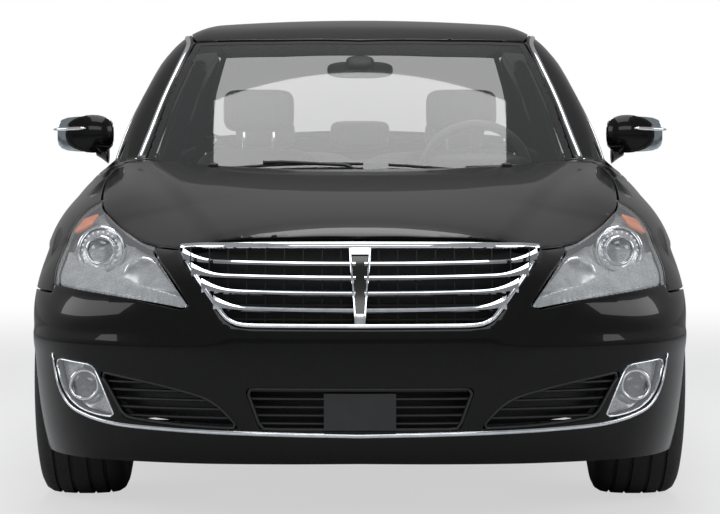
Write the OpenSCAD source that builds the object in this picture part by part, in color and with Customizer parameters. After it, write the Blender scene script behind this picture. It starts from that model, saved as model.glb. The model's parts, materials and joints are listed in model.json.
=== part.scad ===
// Full-size luxury sedan, front towards -Y, +Z up, origin on the floor below the middle of the car.
// Millimetres. +X is the left side of the car, where the driver sits.

/* [Overall size] */
// Length from the nose to the tail
body_length = 5160; // [4400:10:6200]
// Width across the doors, without the mirrors
body_width = 1890; // [1600:5:2300]
// Height of the roof above the floor
body_height = 1490; // [1300:5:1800]

/* [Wheels] */
// Distance from the front axle to the rear axle
wheelbase = 3045; // [2700:5:3400]
// Distance from the nose to the front axle
front_overhang = 880; // [800:5:1000]
// Distance between the middles of the left and right tyres
track_width = 1600; // [1500:5:1640]
// Outside diameter of a tyre
tyre_d = 703; // [640:1:720]
// Width of a tyre
tyre_w = 245; // [205:5:255]
// Diameter of the rim at the bead
rim_d = 483; // [430:1:500]
// Number of rim spokes
spoke_count = 10; // [5:1:14]
// Radius of a wheel arch
arch_r = 388; // [375:1:400]
// Diameter of a brake disc
disc_d = 330; // [280:5:340]

/* [Panels] */
// Gap round a panel that opens
panel_gap = 6; // [4:0.5:9]
// Gap between two panels that are fixed to each other
seam = 0.6; // [0.3:0.1:0.9]
// Thickness of a fixed outer panel
skin_t = 4; // [2:0.5:8]
// Thickness of the hood and the trunk lid
lid_t = 22; // [12:1:30]
// Thickness of a door below its window
door_t = 70; // [40:1:80]
// Thickness of a door frame beside its window
frame_t = 28; // [20:1:36]
// Thickness of the window glass
glass_t = 5; // [3:0.5:8]
// Thickness of the floor and the bulkheads
floor_t = 20; // [10:1:40]

/* [Cabin] */
// Outer diameter of the steering wheel rim
steering_wheel_d = 380; // [340:5:400]
// Rake of the steering column above level
column_rake = 25; // [15:1:35]
// Width of a front seat
seat_w = 520; // [440:5:560]
// Diameter of the hinge pins of doors and lids
hinge_pin_d = 10; // [6:1:12]

/* [Hidden] */
$fn = 64;

pin_play = 0.3;          // radial play of a pin in its bore
overlap = 1;             // how far a cutter runs past what it cuts
sx = body_width / 1890;  // stretch of the body's curves in each direction
sy = body_length / 5160;
sz = body_height / 1490;
front_axle_y = -body_length / 2 + front_overhang;
rear_axle_y = front_axle_y + wheelbase;
wheel_z = tyre_d / 2;
wheel_x = track_width / 2;

// ---- The body's curves: each is a list of [station, value], joined smoothly ----
// Half width of the lower body along the car
plan_line = [[-2600, 895], [-2110, 918], [-1710, 936], [-1200, 938], [-600, 943], [0, 945],
    [700, 945], [1335, 943], [1800, 930], [2200, 908], [2600, 880]];
// How far the lower body leans in from its widest line, by height
lean_line = [[150, 48], [250, 26], [350, 12], [500, 3], [640, 0], [760, 7], [820, 22],
    [870, 48], [920, 82], [980, 130], [1080, 240]];
// Height of the hood and trunk along the middle of the car
deck_line = [[-2650, 712], [-2480, 772], [-2300, 824], [-2050, 872], [-1750, 912], [-1450, 938],
    [-1150, 952], [-800, 962], [0, 972], [900, 1000], [1400, 1050], [1750, 1080], [2100, 1086],
    [2400, 1078], [2600, 1062]];
// How far the hood and trunk drop towards the sides
drop_line = [[-2500, 190], [-2400, 175], [-2230, 147], [-1980, 100], [-1880, 76], [-1730, 46],
    [-1580, 24], [-1430, 6], [-1260, -14], [-1080, -32], [-800, -20], [0, 0], [1400, 20],
    [1750, 40], [2600, 60]];
// Front end: the nose by height, and how far it sweeps back by distance from the middle
nose_line = [[150, -2500], [220, -2535], [320, -2562], [450, -2580], [560, -2578], [640, -2560],
    [700, -2535], [770, -2490], [850, -2410]];
nose_sweep = [[0, 0], [200, 8], [400, 38], [560, 88], [680, 150], [780, 225], [860, 310],
    [920, 400], [980, 520]];
// Rear end, in the same way
tail_line = [[150, 2480], [300, 2540], [450, 2575], [620, 2580], [700, 2560], [850, 2545],
    [1000, 2530], [1080, 2505]];
tail_sweep = [[0, 0], [200, 6], [400, 28], [560, 62], [680, 110], [780, 175], [860, 250],
    [920, 330], [980, 430]];
// Radius of the shoulder between the sides and the top
shoulder_line = [[-2580, 70], [-2300, 120], [-2000, 170], [-1700, 200], [-1100, 150],
    [-700, 60], [1100, 60], [1500, 120], [2100, 120], [2500, 70]];
// Half width of the glasshouse along the car, and how far it leans in by height
glasshouse_line = [[-1150, 730], [-1000, 765], [-700, 812], [-300, 834], [0, 840], [700, 838],
    [1100, 822], [1500, 772], [1900, 690]];
tumble_line = [[900, -30], [970, 0], [1100, 50], [1200, 93], [1306, 141], [1420, 200], [1500, 250]];
// Height of the roof along the car, and the radii of its edges
roof_line = [[-500, 1362], [-330, 1402], [-150, 1448], [100, 1482], [400, 1490], [750, 1478],
    [1000, 1450], [1200, 1410]];
roof_edge_line = [[-1100, 40], [-400, 50], [0, 110], [1000, 130], [1700, 110]];
belt_blend_line = [[-1200, 12], [1000, 12], [1350, 60], [1800, 80]];

function span_at(line, t, i = 0) =
    (i >= len(line) - 2 || t < line[i + 1][0]) ? i : span_at(line, t, i + 1);
function slope_at(line, i) =
    let (a = max(i - 1, 0), b = min(i + 1, len(line) - 1))
    (line[b][1] - line[a][1]) / (line[b][0] - line[a][0]);
function track(line, t) =
    let (last = len(line) - 1, i = span_at(line, t), w = line[i + 1][0] - line[i][0],
         s = (min(max(t, line[0][0]), line[last][0]) - line[i][0]) / w)
    (2 * s * s * s - 3 * s * s + 1) * line[i][1]
    + (s * s * s - 2 * s * s + s) * w * slope_at(line, i)
    + (3 * s * s - 2 * s * s * s) * line[i + 1][1]
    + (s * s * s - s * s) * w * slope_at(line, i + 1)
    + min(t - line[0][0], 0) * slope_at(line, 0)
    + max(t - line[last][0], 0) * slope_at(line, last);
function soft_max(a, b, r) = max(a, b) + pow(max(r - abs(a - b), 0), 2) / (4 * r);
function soft_min(a, b, r) = -soft_max(-a, -b, r);

// Signed height of a point over the lower body and the glasshouse, less than 0 inside
function lower_body(x, y, z) =
    let (side = x - track(plan_line, y) + track(lean_line, z),
         nose = track(nose_line, z) + track(nose_sweep, x) - y,
         tail = y - track(tail_line, z) + track(tail_sweep, x),
         deck = z - track(deck_line, y) + track(drop_line, y) * pow(x / 760, 2.2))
    soft_max(soft_max(soft_max(side, nose, 160), tail, 120), deck, track(shoulder_line, y));
glasshouse_foot = 890;
function windshield_z(x, y) =
    937 + 0.567 * (y + 1150 - 0.00029 * x * x) - 0.00004 * pow(y + 740, 2);
function rear_window_z(x, y) = 1440 - 0.5 * (y - 1010 + 0.00028 * x * x);
function glasshouse(x, y, z) =
    let (side = x - track(glasshouse_line, y) + track(tumble_line, z),
         roof = z - track(roof_line, y) + 0.000068 * x * x,
         top = soft_max(soft_max(z - windshield_z(x, y), roof, 50), z - rear_window_z(x, y), 80))
    max(soft_max(side, top, track(roof_edge_line, y)), glasshouse_foot - z);
function body_skin(p) =
    let (x = abs(p.x) / sx, y = p.y / sy, z = p.z / sz)
    soft_min(lower_body(x, y, z), glasshouse(x, y, z), track(belt_blend_line, y));

function glass_skin(p) = glasshouse(abs(p.x) / sx, p.y / sy, p.z / sz);

// The point where a line from a to b goes in through the skin
function pierce(a, b, steps = 15) =
    steps == 0 ? b :
    let (m = (a + b) / 2)
    body_skin(m) < 0 ? pierce(a, m, steps - 1) : pierce(m, b, steps - 1);
function pierce_glass(a, b, steps = 15) =
    steps == 0 ? b :
    let (m = (a + b) / 2)
    glass_skin(m) < 0 ? pierce_glass(a, m, steps - 1) : pierce_glass(m, b, steps - 1);
function side_point(y, z) = pierce([1100 * sx, y, z], [300 * sx, y, z]);
function top_point(x, y) = pierce([x, y, 1700 * sz], [x, y, 560 * sz]);
// Rays round the cross-section at one station, 0 degrees level and 90 degrees up
function section_point(y, angle) =
    let (c = [300 * sx, y, 480 * sz], d = [cos(angle), 0, sin(angle)])
    pierce(c + 1300 * sx * d, c);
// Rays round the plan of the front or the rear end at one height
function end_point(angle, z, end) =
    let (c = [0, end * 1500 * sy, z], d = [sin(angle), end * cos(angle), 0])
    pierce(c + 1400 * sy * d, c + 500 * sy * d);
// Rays round a point inside a front corner, where a headlamp is
function corner_point(azimuth, rise) =
    let (c = [450 * sx, -1900 * sy, 500 * sz],
         d = [cos(rise) * sin(azimuth), -cos(rise) * cos(azimuth), sin(rise)])
    pierce(c + 1100 * sx * d, c);
// Rays round the middle line of the trunk at one distance from the middle
function trunk_point(x, angle) =
    let (c = [x, 2050 * sy, 700 * sz], d = [0, cos(angle), sin(angle)])
    pierce(c + 700 * sy * d, c);

function spread(a, b, n) = [for (i = [0 : n]) a + (b - a) * i / n];
function flat(rows) = [for (row = rows) each row];

// A closed wall between an outer and an inner grid of points
module wall(outer, inner) {
    m = len(outer[0]);
    n = len(outer);
    all = n * m;
    cells = [for (i = [0 : n - 2], j = [0 : m - 2]) i * m + j];
    facing = cross(outer[0][1] - outer[0][0], outer[1][0] - outer[0][0])
        * (outer[0][0] - inner[0][0]);
    tris = concat(
        [for (a = cells) each [[a, a + 1, a + m + 1], [a, a + m + 1, a + m]]],
        [for (b = cells) let (a = b + all) each [[a, a + m + 1, a + 1], [a, a + m, a + m + 1]]],
        [for (a = [0 : m - 2]) each [[a + 1, a, a + all], [a + 1, a + all, a + 1 + all]]],
        [for (j = [0 : m - 2]) let (a = (n - 1) * m + j)
            each [[a, a + 1, a + 1 + all], [a, a + 1 + all, a + all]]],
        [for (i = [0 : n - 2]) let (a = i * m)
            each [[a, a + m, a + m + all], [a, a + m + all, a + all]]],
        [for (i = [0 : n - 2]) let (b = i * m + m - 1)
            each [[b + m, b, b + all], [b + m, b + all, b + m + all]]]);
    polyhedron(concat(flat(outer), flat(inner)),
        facing > 0 ? [for (t = tris) [t[2], t[1], t[0]]] : tris);
}

// Joins and cuts its children as one surface
module one_skin() { resize([0, 0, 0]) children(); }
module both_sides() {
    children();
    mirror([1, 0, 0]) children();
}
// An outline in the side view (y, z), the plan (x, y) or the end view (x, z), run through the body
module side_cut(from = 0, to = 1200) {
    translate([from * sx, 0, 0]) rotate([90, 0, 90]) linear_extrude((to - from) * sx) children();
}
module plan_cut(from = 500, to = 1700) {
    translate([0, 0, from * sz]) linear_extrude((to - from) * sz) children();
}
module end_cut(from, to) {
    translate([0, to * sy, 0]) rotate([90, 0, 0]) linear_extrude((to - from) * sy) children();
}
function in_side(points) = [for (p = points) [p[0] * sy, p[1] * sz]];
function in_plan(points) = [for (p = points) [p[0] * sx, p[1] * sy]];
function in_end(points) = [for (p = points) [p[0] * sx, p[1] * sz]];
function mirrored(points) =
    concat(points, [for (i = [len(points) - 1 : -1 : 0]) if (points[i][0] != 0)
        [-points[i][0], points[i][1]]]);

// Walls on the skin
module side_wall(ys, zs, t) {
    outer = [for (y = ys) [for (z = zs) side_point(y, z)]];
    wall(outer, [for (row = outer) [for (p = row) p - [t, 0, 0]]]);
}
module section_wall(ys, angles, t) {
    outer = [for (y = ys) [for (a = angles) section_point(y, a)]];
    wall(outer, [for (row = outer) [for (i = [0 : len(row) - 1])
        row[i] - t * [cos(angles[i]), 0, sin(angles[i])]]]);
}
module top_wall(xs, ys, t, drop = 0) {
    outer = [for (x = xs) [for (y = ys) top_point(x, y) - [0, 0, drop]]];
    wall(outer, [for (row = outer) [for (p = row) p - [0, 0, t]]]);
}
module end_wall(angles, zs, end, t, drop = 0) {
    function back(a, d) = d * [sin(a), end * cos(a), 0];
    outer = [for (a = angles) [for (z = zs) end_point(a, z, end) - back(a, drop)]];
    wall(outer, [for (i = [0 : len(outer) - 1]) [for (p = outer[i]) p - back(angles[i], t)]]);
}

// ---- Outlines of the panels ----
door_split_y = 159;        // rear edge of the front door
door_front_y = -1010;      // front edge of the front door
door_foot_z = 268;         // bottom edge of the doors
belt_z = 968;              // bottom of the side windows
front_door_line = [[-1010, 268], [159, 268], [159, 1384], [-20, 1372], [-180, 1320],
    [-480, 1150], [-700, 1024], [-900, 918], [-1010, 856]];
rear_door_line = [[165, 268], [905, 268], [960, 420], [1075, 640], [1150, 800], [1178, 960],
    [1120, 1130], [1010, 1290], [900, 1362], [700, 1392], [400, 1396], [165, 1384]];
front_window_line = [[-650, 972], [115, 978], [115, 1352], [0, 1342], [-160, 1290], [-460, 1118],
    [-640, 1014]];
rear_window_line = [[210, 980], [1105, 1000], [1075, 1110], [965, 1262], [868, 1328],
    [690, 1358], [400, 1364], [210, 1354]];
hood_side = [[0, -1294], [300, -1255], [504, -1160], [650, -1085], [729, -1050], [764, -1130],
    [779, -1256], [774, -1450], [762, -1661], [745, -1811], [709, -1914], [660, -2050],
    [593, -2218], [540, -2300], [491, -2353], [430, -2385], [200, -2440], [0, -2452]];
windshield_side = [[0, -1135], [300, -1112], [520, -1060], [698, -985], [650, -620], [575, -225],
    [560, -218], [300, -285], [0, -315]];
roof_side = [[0, -309], [300, -279], [560, -212], [575, -219], [590, -140], [604, 60],
    [608, 400], [600, 700], [575, 930], [548, 990], [300, 1035], [0, 1048]];
rear_glass_side = [[0, 1054], [300, 1041], [548, 996], [560, 1010], [610, 1300], [640, 1600],
    [600, 1650], [300, 1695], [0, 1705]];
trunk_side = [[0, 1770], [300, 1762], [610, 1722], [668, 1760], [690, 1900], [690, 2300],
    [672, 2700], [0, 2700]];
headlamp_line = [[742, 815], [700, 788], [585, 748], [514, 682], [453, 598], [461, 586],
    [587, 608], [720, 628], [834, 648], [1000, 655], [1000, 885], [768, 885]];
headlamp_rear_line = [[-2700, 560], [-2210, 560], [-2196, 640], [-2044, 710], [-1898, 771],
    [-1767, 829], [-1700, 870], [-1690, 900], [-2700, 900]];
grille_line = [[0, 764], [250, 764], [487, 757], [484, 740], [437, 676], [381, 599],
    [356, 562], [328, 545], [290, 541], [0, 540]];
lower_grille_line = [[0, 378], [300, 378], [262, 269], [0, 268]];
intake_line = [[700, 414], [530, 385], [388, 348], [318, 270], [477, 275], [633, 293]];
fog_lamp_line = [[828, 441], [717, 430], [657, 292], [700, 294], [760, 310], [800, 345], [822, 400]];
bumper_seam_z = 618;       // where the front bumper meets the fender
bumper_rear_y = -2060 * sy;
rear_bumper_z = 690;       // top of the rear bumper

cowl_side = [[0, -1310], [504, -1176], [650, -1092], [741, -1052], [748, -1004], [0, -1004]];
module cowl_outline() { polygon(in_plan(mirrored(cowl_side))); }
module front_door_outline() { polygon(in_side(front_door_line)); }
module rear_door_outline() { polygon(in_side(rear_door_line)); }
module front_window_outline() { polygon(in_side(front_window_line)); }
module rear_window_outline() { polygon(in_side(rear_window_line)); }
module hood_outline() { polygon(in_plan(mirrored(hood_side))); }
module windshield_outline() { polygon(in_plan(mirrored(windshield_side))); }
module roof_outline() { polygon(in_plan(mirrored(roof_side))); }
module rear_glass_outline() { polygon(in_plan(mirrored(rear_glass_side))); }
module trunk_outline() { polygon(in_plan(mirrored(trunk_side))); }
module headlamp_outline() { polygon(in_end(headlamp_line)); }
module fog_lamp_outline() { polygon(in_end(fog_lamp_line)); }

// The space of the wheels under the body
module arch_spaces(axle_y) {
    translate([380, axle_y, wheel_z]) rotate([0, 90, 0]) cylinder(h = 900, r = arch_r);
}
module headlamp_space(grow = 0) {
    intersection() {
        end_cut(-2700, -1600) offset(delta = grow) headlamp_outline();
        side_cut() offset(delta = grow) polygon(in_side(headlamp_rear_line));
    }
}

// ---- Doors ----
hinge_x = 918 * sx;
hinge_set = 30;            // from a door's front edge back to its hinge axis
hinge_heights = [430, 720];
hinge_h = 60;
leaf_h = 8;
flange_t = 5;              // front edge of a door, outside its hinge
door_top_line = [[-1010, 985], [-900, 998], [-700, 1036], [-480, 1162], [-180, 1332], [-20, 1384],
    [159, 1394], [700, 1400], [900, 1372], [1010, 1302], [1120, 1142], [1178, 1010], [1300, 1000]];
lower_heights = [180, 262, 400, 560, 700, 800, 880, 930, 955];

function side_column(y) =
    let (top = lookup(y / sy, door_top_line) * sz + 3, base = belt_z * sz)
    concat([for (z = lower_heights) z * sz], spread(base, max(top, base + 10), 5));
// A wall that lies between two depths under the side of the body, each given below and above the belt
module side_layer(ys, from, to) {
    columns = [for (y = ys) [for (z = side_column(y)) side_point(y, z)]];
    function sink(row, d) = [for (p = row) p - [p.z < (belt_z - 5) * sz ? d[0] : d[1], 0, 0]];
    wall([for (row = columns) sink(row, from)], [for (row = columns) sink(row, to)]);
}
front_door_stations = [-1040, -980, -880, -720, -520, -300, -80, 190];
rear_door_stations = [130, 260, 440, 640, 800, 900, 1000, 1100, 1200];
function at_stations(list) = [for (y = list) y * sy];

module hinge_knuckles(hinge_y) {
    for (z = hinge_heights) translate([hinge_x, hinge_y, z * sz]) {
        cylinder(h = hinge_h, d = hinge_pin_d + 8, center = true, $fn = 16);
        translate([-26, 0, -hinge_h / 2]) cube([26, hinge_set / 2, hinge_h]);
    }
}
module hinge_bores(hinge_y) {
    for (z = hinge_heights) translate([hinge_x, hinge_y, z * sz])
        cylinder(h = hinge_h + 2 * overlap, d = hinge_pin_d + 2 * pin_play, center = true, $fn = 16);
}
// The two leaves and the pin that carry a door's knuckles
module hinge_leaves(hinge_y) {
    reach = 70;
    half_w = hinge_pin_d / 2 + 1.4;
    for (z = hinge_heights) translate([hinge_x, hinge_y, z * sz])
        for (side = [-1, 1]) translate([0, 0,
            side > 0 ? hinge_h / 2 + pin_play : -hinge_h / 2 - leaf_h - pin_play]) {
            cylinder(h = leaf_h, r = half_w, $fn = 16);
            translate([-reach, -half_w, 0]) cube([reach, 2 * half_w, leaf_h]);
        }
}
// The pins of a door, or with some play the holes for them
module hinge_pins(hinge_y, play = 0) {
    for (z = hinge_heights) translate([hinge_x, hinge_y, z * sz])
        cylinder(h = hinge_h + 2 * leaf_h + 2 * pin_play, d = hinge_pin_d + 2 * play, center = true);
}
module door(stations, front_y, thin_rear) {
    ys = at_stations(stations);
    hinge_y = (front_y + hinge_set) * sy;
    rear_y = door_split_y * sy;
    one_skin() difference() {
        union() {
            intersection() {
                side_layer(ys, [0, 0], [door_t, frame_t]);
                side_cut() children(0);
            }
            hinge_knuckles(hinge_y);
        }
        hinge_bores(hinge_y);
        side_cut() children(1);
        // Room inside the front edge for the hinge leaves
        difference() {
            intersection() {
                side_layer(ys, [flange_t, flange_t],
                    [door_t + 20, frame_t + 20]);
                translate([0, front_y * sy - 30, 0]) cube([1200 * sx, 40 + hinge_y - front_y * sy,
                    (belt_z - 6) * sz]);
            }
            hinge_knuckles(hinge_y);
        }
        if (thin_rear)
            intersection() {
                side_layer(ys, [flange_t, flange_t],
                    [door_t + 20, frame_t + 20]);
                translate([0, rear_y - 9, 0]) cube([1200 * sx, 40, (belt_z - 6) * sz]);
            }
    }
}
module front_door() {
    door(front_door_stations, door_front_y, true) {
        front_door_outline();
        front_window_outline();
    }
}
module rear_door() {
    door(rear_door_stations, 165, false) {
        rear_door_outline();
        rear_window_outline();
    }
}
glass_sink = 8;            // how far the side glass sits under the door frame
module side_glass(stations) {
    one_skin() intersection() {
        side_layer(at_stations(stations), [glass_sink, glass_sink],
            [glass_sink + glass_t, glass_sink + glass_t]);
        side_cut() offset(delta = -seam) children();
    }
}
module mirror_head() {
    // A rounded shell on a stalk that grows from the front corner of the window
    one_skin() difference() {
        mirror_shell();
        side_layer(at_stations(front_door_stations), [-seam, -seam], [120, 120]);
    }
}
module mirror_shell() {
    union() {
        hull() {
            translate([985, -700, 1066]) scale([0.55, 0.9, 1]) sphere(d = 128, $fn = 20);
            translate([880, -690, 1068]) scale([0.7, 0.9, 1]) sphere(d = 135, $fn = 20);
            translate([850, -685, 1040]) sphere(d = 60, $fn = 20);
        }
        hull() {
            translate([842, -690, 1035]) sphere(d = 44, $fn = 16);
            translate([mirror_foot_x, -700, 1000]) rotate([0, 90, 0]) cylinder(h = 6, d = 50, $fn = 16);
        }
    }
}
mirror_foot_x = 806 * sx;

module front_door_left() { color("#101113") front_door(); }
module front_door_right() { color("#101113") mirror([1, 0, 0]) front_door(); }
module rear_door_left() { color("#101113") rear_door(); }
module rear_door_right() { color("#101113") mirror([1, 0, 0]) rear_door(); }
module front_glass_left() {
    color("#8a9090", 0.5) side_glass(front_door_stations) front_window_outline();
}
module front_glass_right() { mirror([1, 0, 0]) front_glass_left(); }
module rear_glass_left() {
    color("#8a9090", 0.5) side_glass(rear_door_stations) rear_window_outline();
}
module rear_glass_right() { mirror([1, 0, 0]) rear_glass_left(); }
module door_mirror_left() { color("#101113") mirror_head(); }
module door_mirror_right() { mirror([1, 0, 0]) door_mirror_left(); }

// ---- The body's fixed panels ----
section_angles = concat([-27, -20], spread(-12, 78, 14));
pillar_t = 40;             // thickness of the pillars and roof rails
ring_t = 50;               // thickness of the frame that the doors close on
ring_in = 45;              // how far that frame reaches inside a door's outline
ring_out = 25;             // and how far outside it
sill_x = 760 * sx;         // inner face of the sills
module side_frame() {
    gap = panel_gap;
    one_skin() {
        difference() {
            section_wall(at_stations([-1010, -900, -740, -500, -240, 20, 300, 550, 800]),
                section_angles, pillar_t);
            side_cut() {
                offset(delta = gap) front_door_outline();
                offset(delta = gap) rear_door_outline();
                translate([-1020 * sy, 268 * sz]) square([40, 590 * sz]);
            }
            plan_cut() {
                offset(delta = seam) windshield_outline();
                offset(delta = seam) roof_outline();
                cowl_outline();
            }
        }
        // The sill as one box under the doors
        intersection() {
            side_layer(at_stations([-1010, -600, -200, 200, 500, 800]), [2, 2], [260 * sx, 200]);
            translate([sill_x, -1010 * sy, 182 * sz])
                cube([300 * sx, 1810 * sy, (door_foot_z - 182) * sz - gap]);
        }
        for (part = [0, 1]) intersection() {
            side_layer(at_stations(part == 0 ? front_door_stations : rear_door_stations),
                [door_t + gap, frame_t + gap],
                [door_t + gap + ring_t, frame_t + gap + ring_t]);
            side_cut() difference() {
                offset(delta = ring_out) if (part == 0) front_door_outline(); else rear_door_outline();
                offset(delta = -ring_in) if (part == 0) front_door_outline(); else rear_door_outline();
            }
        }
        hinge_leaves((door_front_y + hinge_set) * sy);
        hinge_leaves((165 + hinge_set) * sy);
    }
}
module side_frames() {
    front_hinge_y = (door_front_y + hinge_set) * sy;
    rear_hinge_y = (165 + hinge_set) * sy;
    color("#101113") both_sides() {
        one_skin() difference() {
            side_frame();
            arch_spaces(rear_axle_y);
            for (y = [front_hinge_y, rear_hinge_y]) hinge_pins(y, pin_play, $fn = 16);
        }
        for (y = [front_hinge_y, rear_hinge_y]) hinge_pins(y);
    }
}

module fender() {
    gap = panel_gap;
    one_skin() difference() {
        section_wall(at_stations([-2206, -2140, -2060, -1980, -1900, -1800, -1700, -1560, -1420, -1280,
            -1140, -1010 - seam]), section_angles, skin_t);
        headlamp_space(seam);
        plan_cut() {
            offset(delta = gap) hood_outline();
            // Where the rear corners of the open hood swing
            translate([0, 20 * sy]) hood_outline();
            cowl_outline();
        }
        arch_spaces(front_axle_y);
        side_cut() offset(delta = gap) front_door_outline();
        // Everything under the seam ahead of the arch belongs to the bumper
        translate([0, bumper_rear_y - 900 * sy, 0]) cube([1100 * sx, 900 * sy, bumper_seam_z * sz + seam]);
    }
}
module front_fenders() { color("#101113") both_sides() fender(); }

module rear_quarter() {
    gap = panel_gap;
    one_skin() difference() {
        section_wall(at_stations([800 + seam, 900, 1000, 1110, 1220, 1345, 1460, 1580, 1700, 1840,
            1980, 2120, 2250, 2340, 2420]), concat(section_angles, [84, 90]), skin_t);
        side_cut() offset(delta = gap) rear_door_outline();
        plan_cut() {
            offset(delta = seam) roof_outline();
            offset(delta = seam) rear_glass_outline();
            offset(delta = gap) trunk_outline();
        }
        arch_spaces(rear_axle_y);
        tail_lamp_space(seam);
        translate([0, 1800 * sy - seam, 0]) cube([1100 * sx, 900 * sy, rear_bumper_z * sz + seam]);
        translate([-overlap, 0, 0]) cube([overlap + 0.25, 3000 * sy, 2000 * sz]);
    }
}
// The strip between the rear window and the trunk lid
deck_half = 299.4;
module deck_strip() {
    one_skin() difference() {
        top_panel([[0, deck_half - 4], [1, deck_half - 4]], [1640, 1700, 1735, 1775], 2, skin_t);
        plan_cut() {
            offset(delta = seam) rear_glass_outline();
            offset(delta = panel_gap) trunk_outline();
        }
    }
}
module rear_quarters() {
    color("#101113") {
        both_sides() rear_quarter();
        deck_strip();
    }
}

roof_half_line = [[-320, 560], [-219, 580], [-140, 594], [60, 608], [400, 612], [700, 604],
    [930, 579], [1060, 545]];
function rows_within(half_line, stations, n, grow = 4) = [for (y = stations)
    [for (u = [-n : n]) [(lookup(y, half_line) + grow) * u / n * sx, y * sy]]];
module top_panel(half_line, stations, n, t) {
    outer = [for (row = rows_within(half_line, stations, n)) [for (p = row) top_point(p[0], p[1])]];
    wall(outer, [for (row = outer) [for (p = row) p - [0, 0, t]]]);
}
module roof_panel() {
    color("#101113") one_skin() intersection() {
        top_panel(roof_half_line, [-320, -240, -140, 40, 260, 500, 740, 920, 1052], 4, 12);
        plan_cut() roof_outline();
    }
}
windshield_half_line = [[-1140, 716], [-985, 704], [-620, 654], [-210, 580]];
module windshield() {
    outer = [for (row = rows_within(windshield_half_line, [-1140, -1040, -900, -700, -480, -300, -205], 4))
        [for (p = row) pierce_glass([p[0], p[1], 1700 * sz], [p[0], p[1], (glasshouse_foot + 2) * sz]) - [0, 0, 1]]];
    color("#8a9090", 0.5) one_skin() intersection() {
        wall(outer, [for (row = outer) [for (p = row) p - [0, 0, glass_t]]]);
        plan_cut() windshield_outline();
    }
}
rear_glass_half_line = [[985, 552], [1010, 564], [1300, 614], [1600, 644], [1710, 604]];
module rear_window() {
    color("#8a9090", 0.5) one_skin() intersection() {
        top_panel(rear_glass_half_line, [985, 1060, 1200, 1350, 1500, 1610, 1710], 4, glass_t);
        plan_cut() rear_glass_outline();
    }
}

lower_grille_bar_z = [305, 340];
module bumper_openings() {
    both_sides() {
        end_cut(-2800, -1800) {
            polygon(in_end(intake_line));
            fog_lamp_outline();
        }
        headlamp_space(seam);
    }
    end_cut(-2800, -2200) {
        polygon(in_end(mirrored(concat([[0, 800], [482, 800]], [for (p = grille_line) if (p[0] > 300 || p[1] < 600) p]))));
        polygon(in_end(mirrored(lower_grille_line)));
    }
}
module front_bumper() {
    color("#101113") one_skin() difference() {
        end_wall(spread(-61, 61, 22), [for (z = [172, 200, 250, 320, 400, 480, 550, 618, 690, 768]) z * sz],
            -1, skin_t);
        bumper_openings();
        plan_cut(540) offset(delta = panel_gap) hood_outline();
        both_sides() arch_spaces(front_axle_y);
        // The fenders take over behind the seam
        translate([-1100 * sx, bumper_rear_y - seam, 0])
            cube([2200 * sx, 800 * sy, bumper_seam_z * sz + 2 * seam]);
        both_sides() translate([540 * sx, -2206 * sy - seam, bumper_seam_z * sz])
            cube([560 * sx, 900 * sy, 400 * sz]);
    }
}
module rear_bumper() {
    color("#101113") one_skin() difference() {
        end_wall(spread(-77, 77, 20), [for (z = [190, 240, 320, 420, 520, 620, 690, 740]) z * sz], 1, skin_t);
        both_sides() arch_spaces(rear_axle_y);
        translate([-1100 * sx, 0, 0]) cube([2200 * sx, 1800 * sy, 900 * sz]);
        translate([-1100 * sx, 0, rear_bumper_z * sz]) cube([2200 * sx, 2700 * sy, 200 * sz]);
    }
}
module tail_lamp_space(grow = 0) {
    intersection() {
        end_cut(1900, 2700) offset(delta = grow)
            polygon(in_end([[699, 905], [980, 905], [980, rear_bumper_z + 2], [699, rear_bumper_z + 2]]));
        side_cut() offset(delta = grow) polygon(in_side([[2240, rear_bumper_z - 20], [2700, rear_bumper_z - 20],
            [2700, 905], [2090, 905]]));
    }
}
module tail_lamps() {
    color("#7a1414") both_sides() one_skin() intersection() {
        end_wall(spread(30, 72, 8), [for (z = [rear_bumper_z - 5, 780, 820, 860, 910]) z * sz], 1, 30);
        tail_lamp_space();
    }
}
module front_lamps() {
    azimuths = [-6, 4, 16, 28, 40, 52, 66, 82, 100, 118, 130];
    rises = [4, 12, 20, 28, 36, 44, 52];
    outer = [for (a = azimuths) [for (e = rises) corner_point(a, e)]];
    c = [450 * sx, -1900 * sy, 500 * sz];
    color("#d8dcdf") both_sides() {
        one_skin() intersection() {
            wall(outer, [for (row = outer) [for (p = row) c + (p - c) * 0.86]]);
            headlamp_space();
            hood_clear();
        }
        one_skin() intersection() {
            end_wall(spread(32, 50, 5), [for (z = [280, 340, 400, 450]) z * sz], -1, 40);
            end_cut(-2800, -1800) offset(delta = -seam) fog_lamp_outline();
        }
    }
}

grille_depth = 22;
grille_slat_z = [581, 618, 656, 696];
module bars(heights, h, half) {
    for (z = heights) translate([-half * sx, (z - h / 2) * sz]) square([2 * half * sx, h * sz]);
}
// Everything in front of the hood's edge
module hood_clear() {
    difference() {
        translate([-1200 * sx, -2800 * sy, 100]) cube([2400 * sx, 1500 * sy, 1000 * sz]);
        plan_cut(400) offset(delta = panel_gap) hood_outline();
    }
}
module grille() {
    fin_step = 90;
    color("#c9ccd0") one_skin() intersection() {
        end_wall(spread(-31, 31, 8), [for (z = [530, 600, 690, 740, 775]) z * sz], -1,
            grille_depth, 2);
        hood_clear();
        end_cut(-2800, -2200) intersection() {
            offset(delta = -seam) polygon(in_end(mirrored(grille_line)));
            union() {
                difference() {
                    polygon(in_end(mirrored(grille_line)));
                    offset(delta = -13) polygon(in_end(mirrored(grille_line)));
                }
                bars(grille_slat_z, 15, 500);
                translate([-15, 500 * sz]) square([30, 300 * sz]);
                for (i = [-4 : 4]) translate([i * fin_step * sx - 2, 500 * sz]) square([4, 300 * sz]);
            }
        }
    }
}
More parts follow.
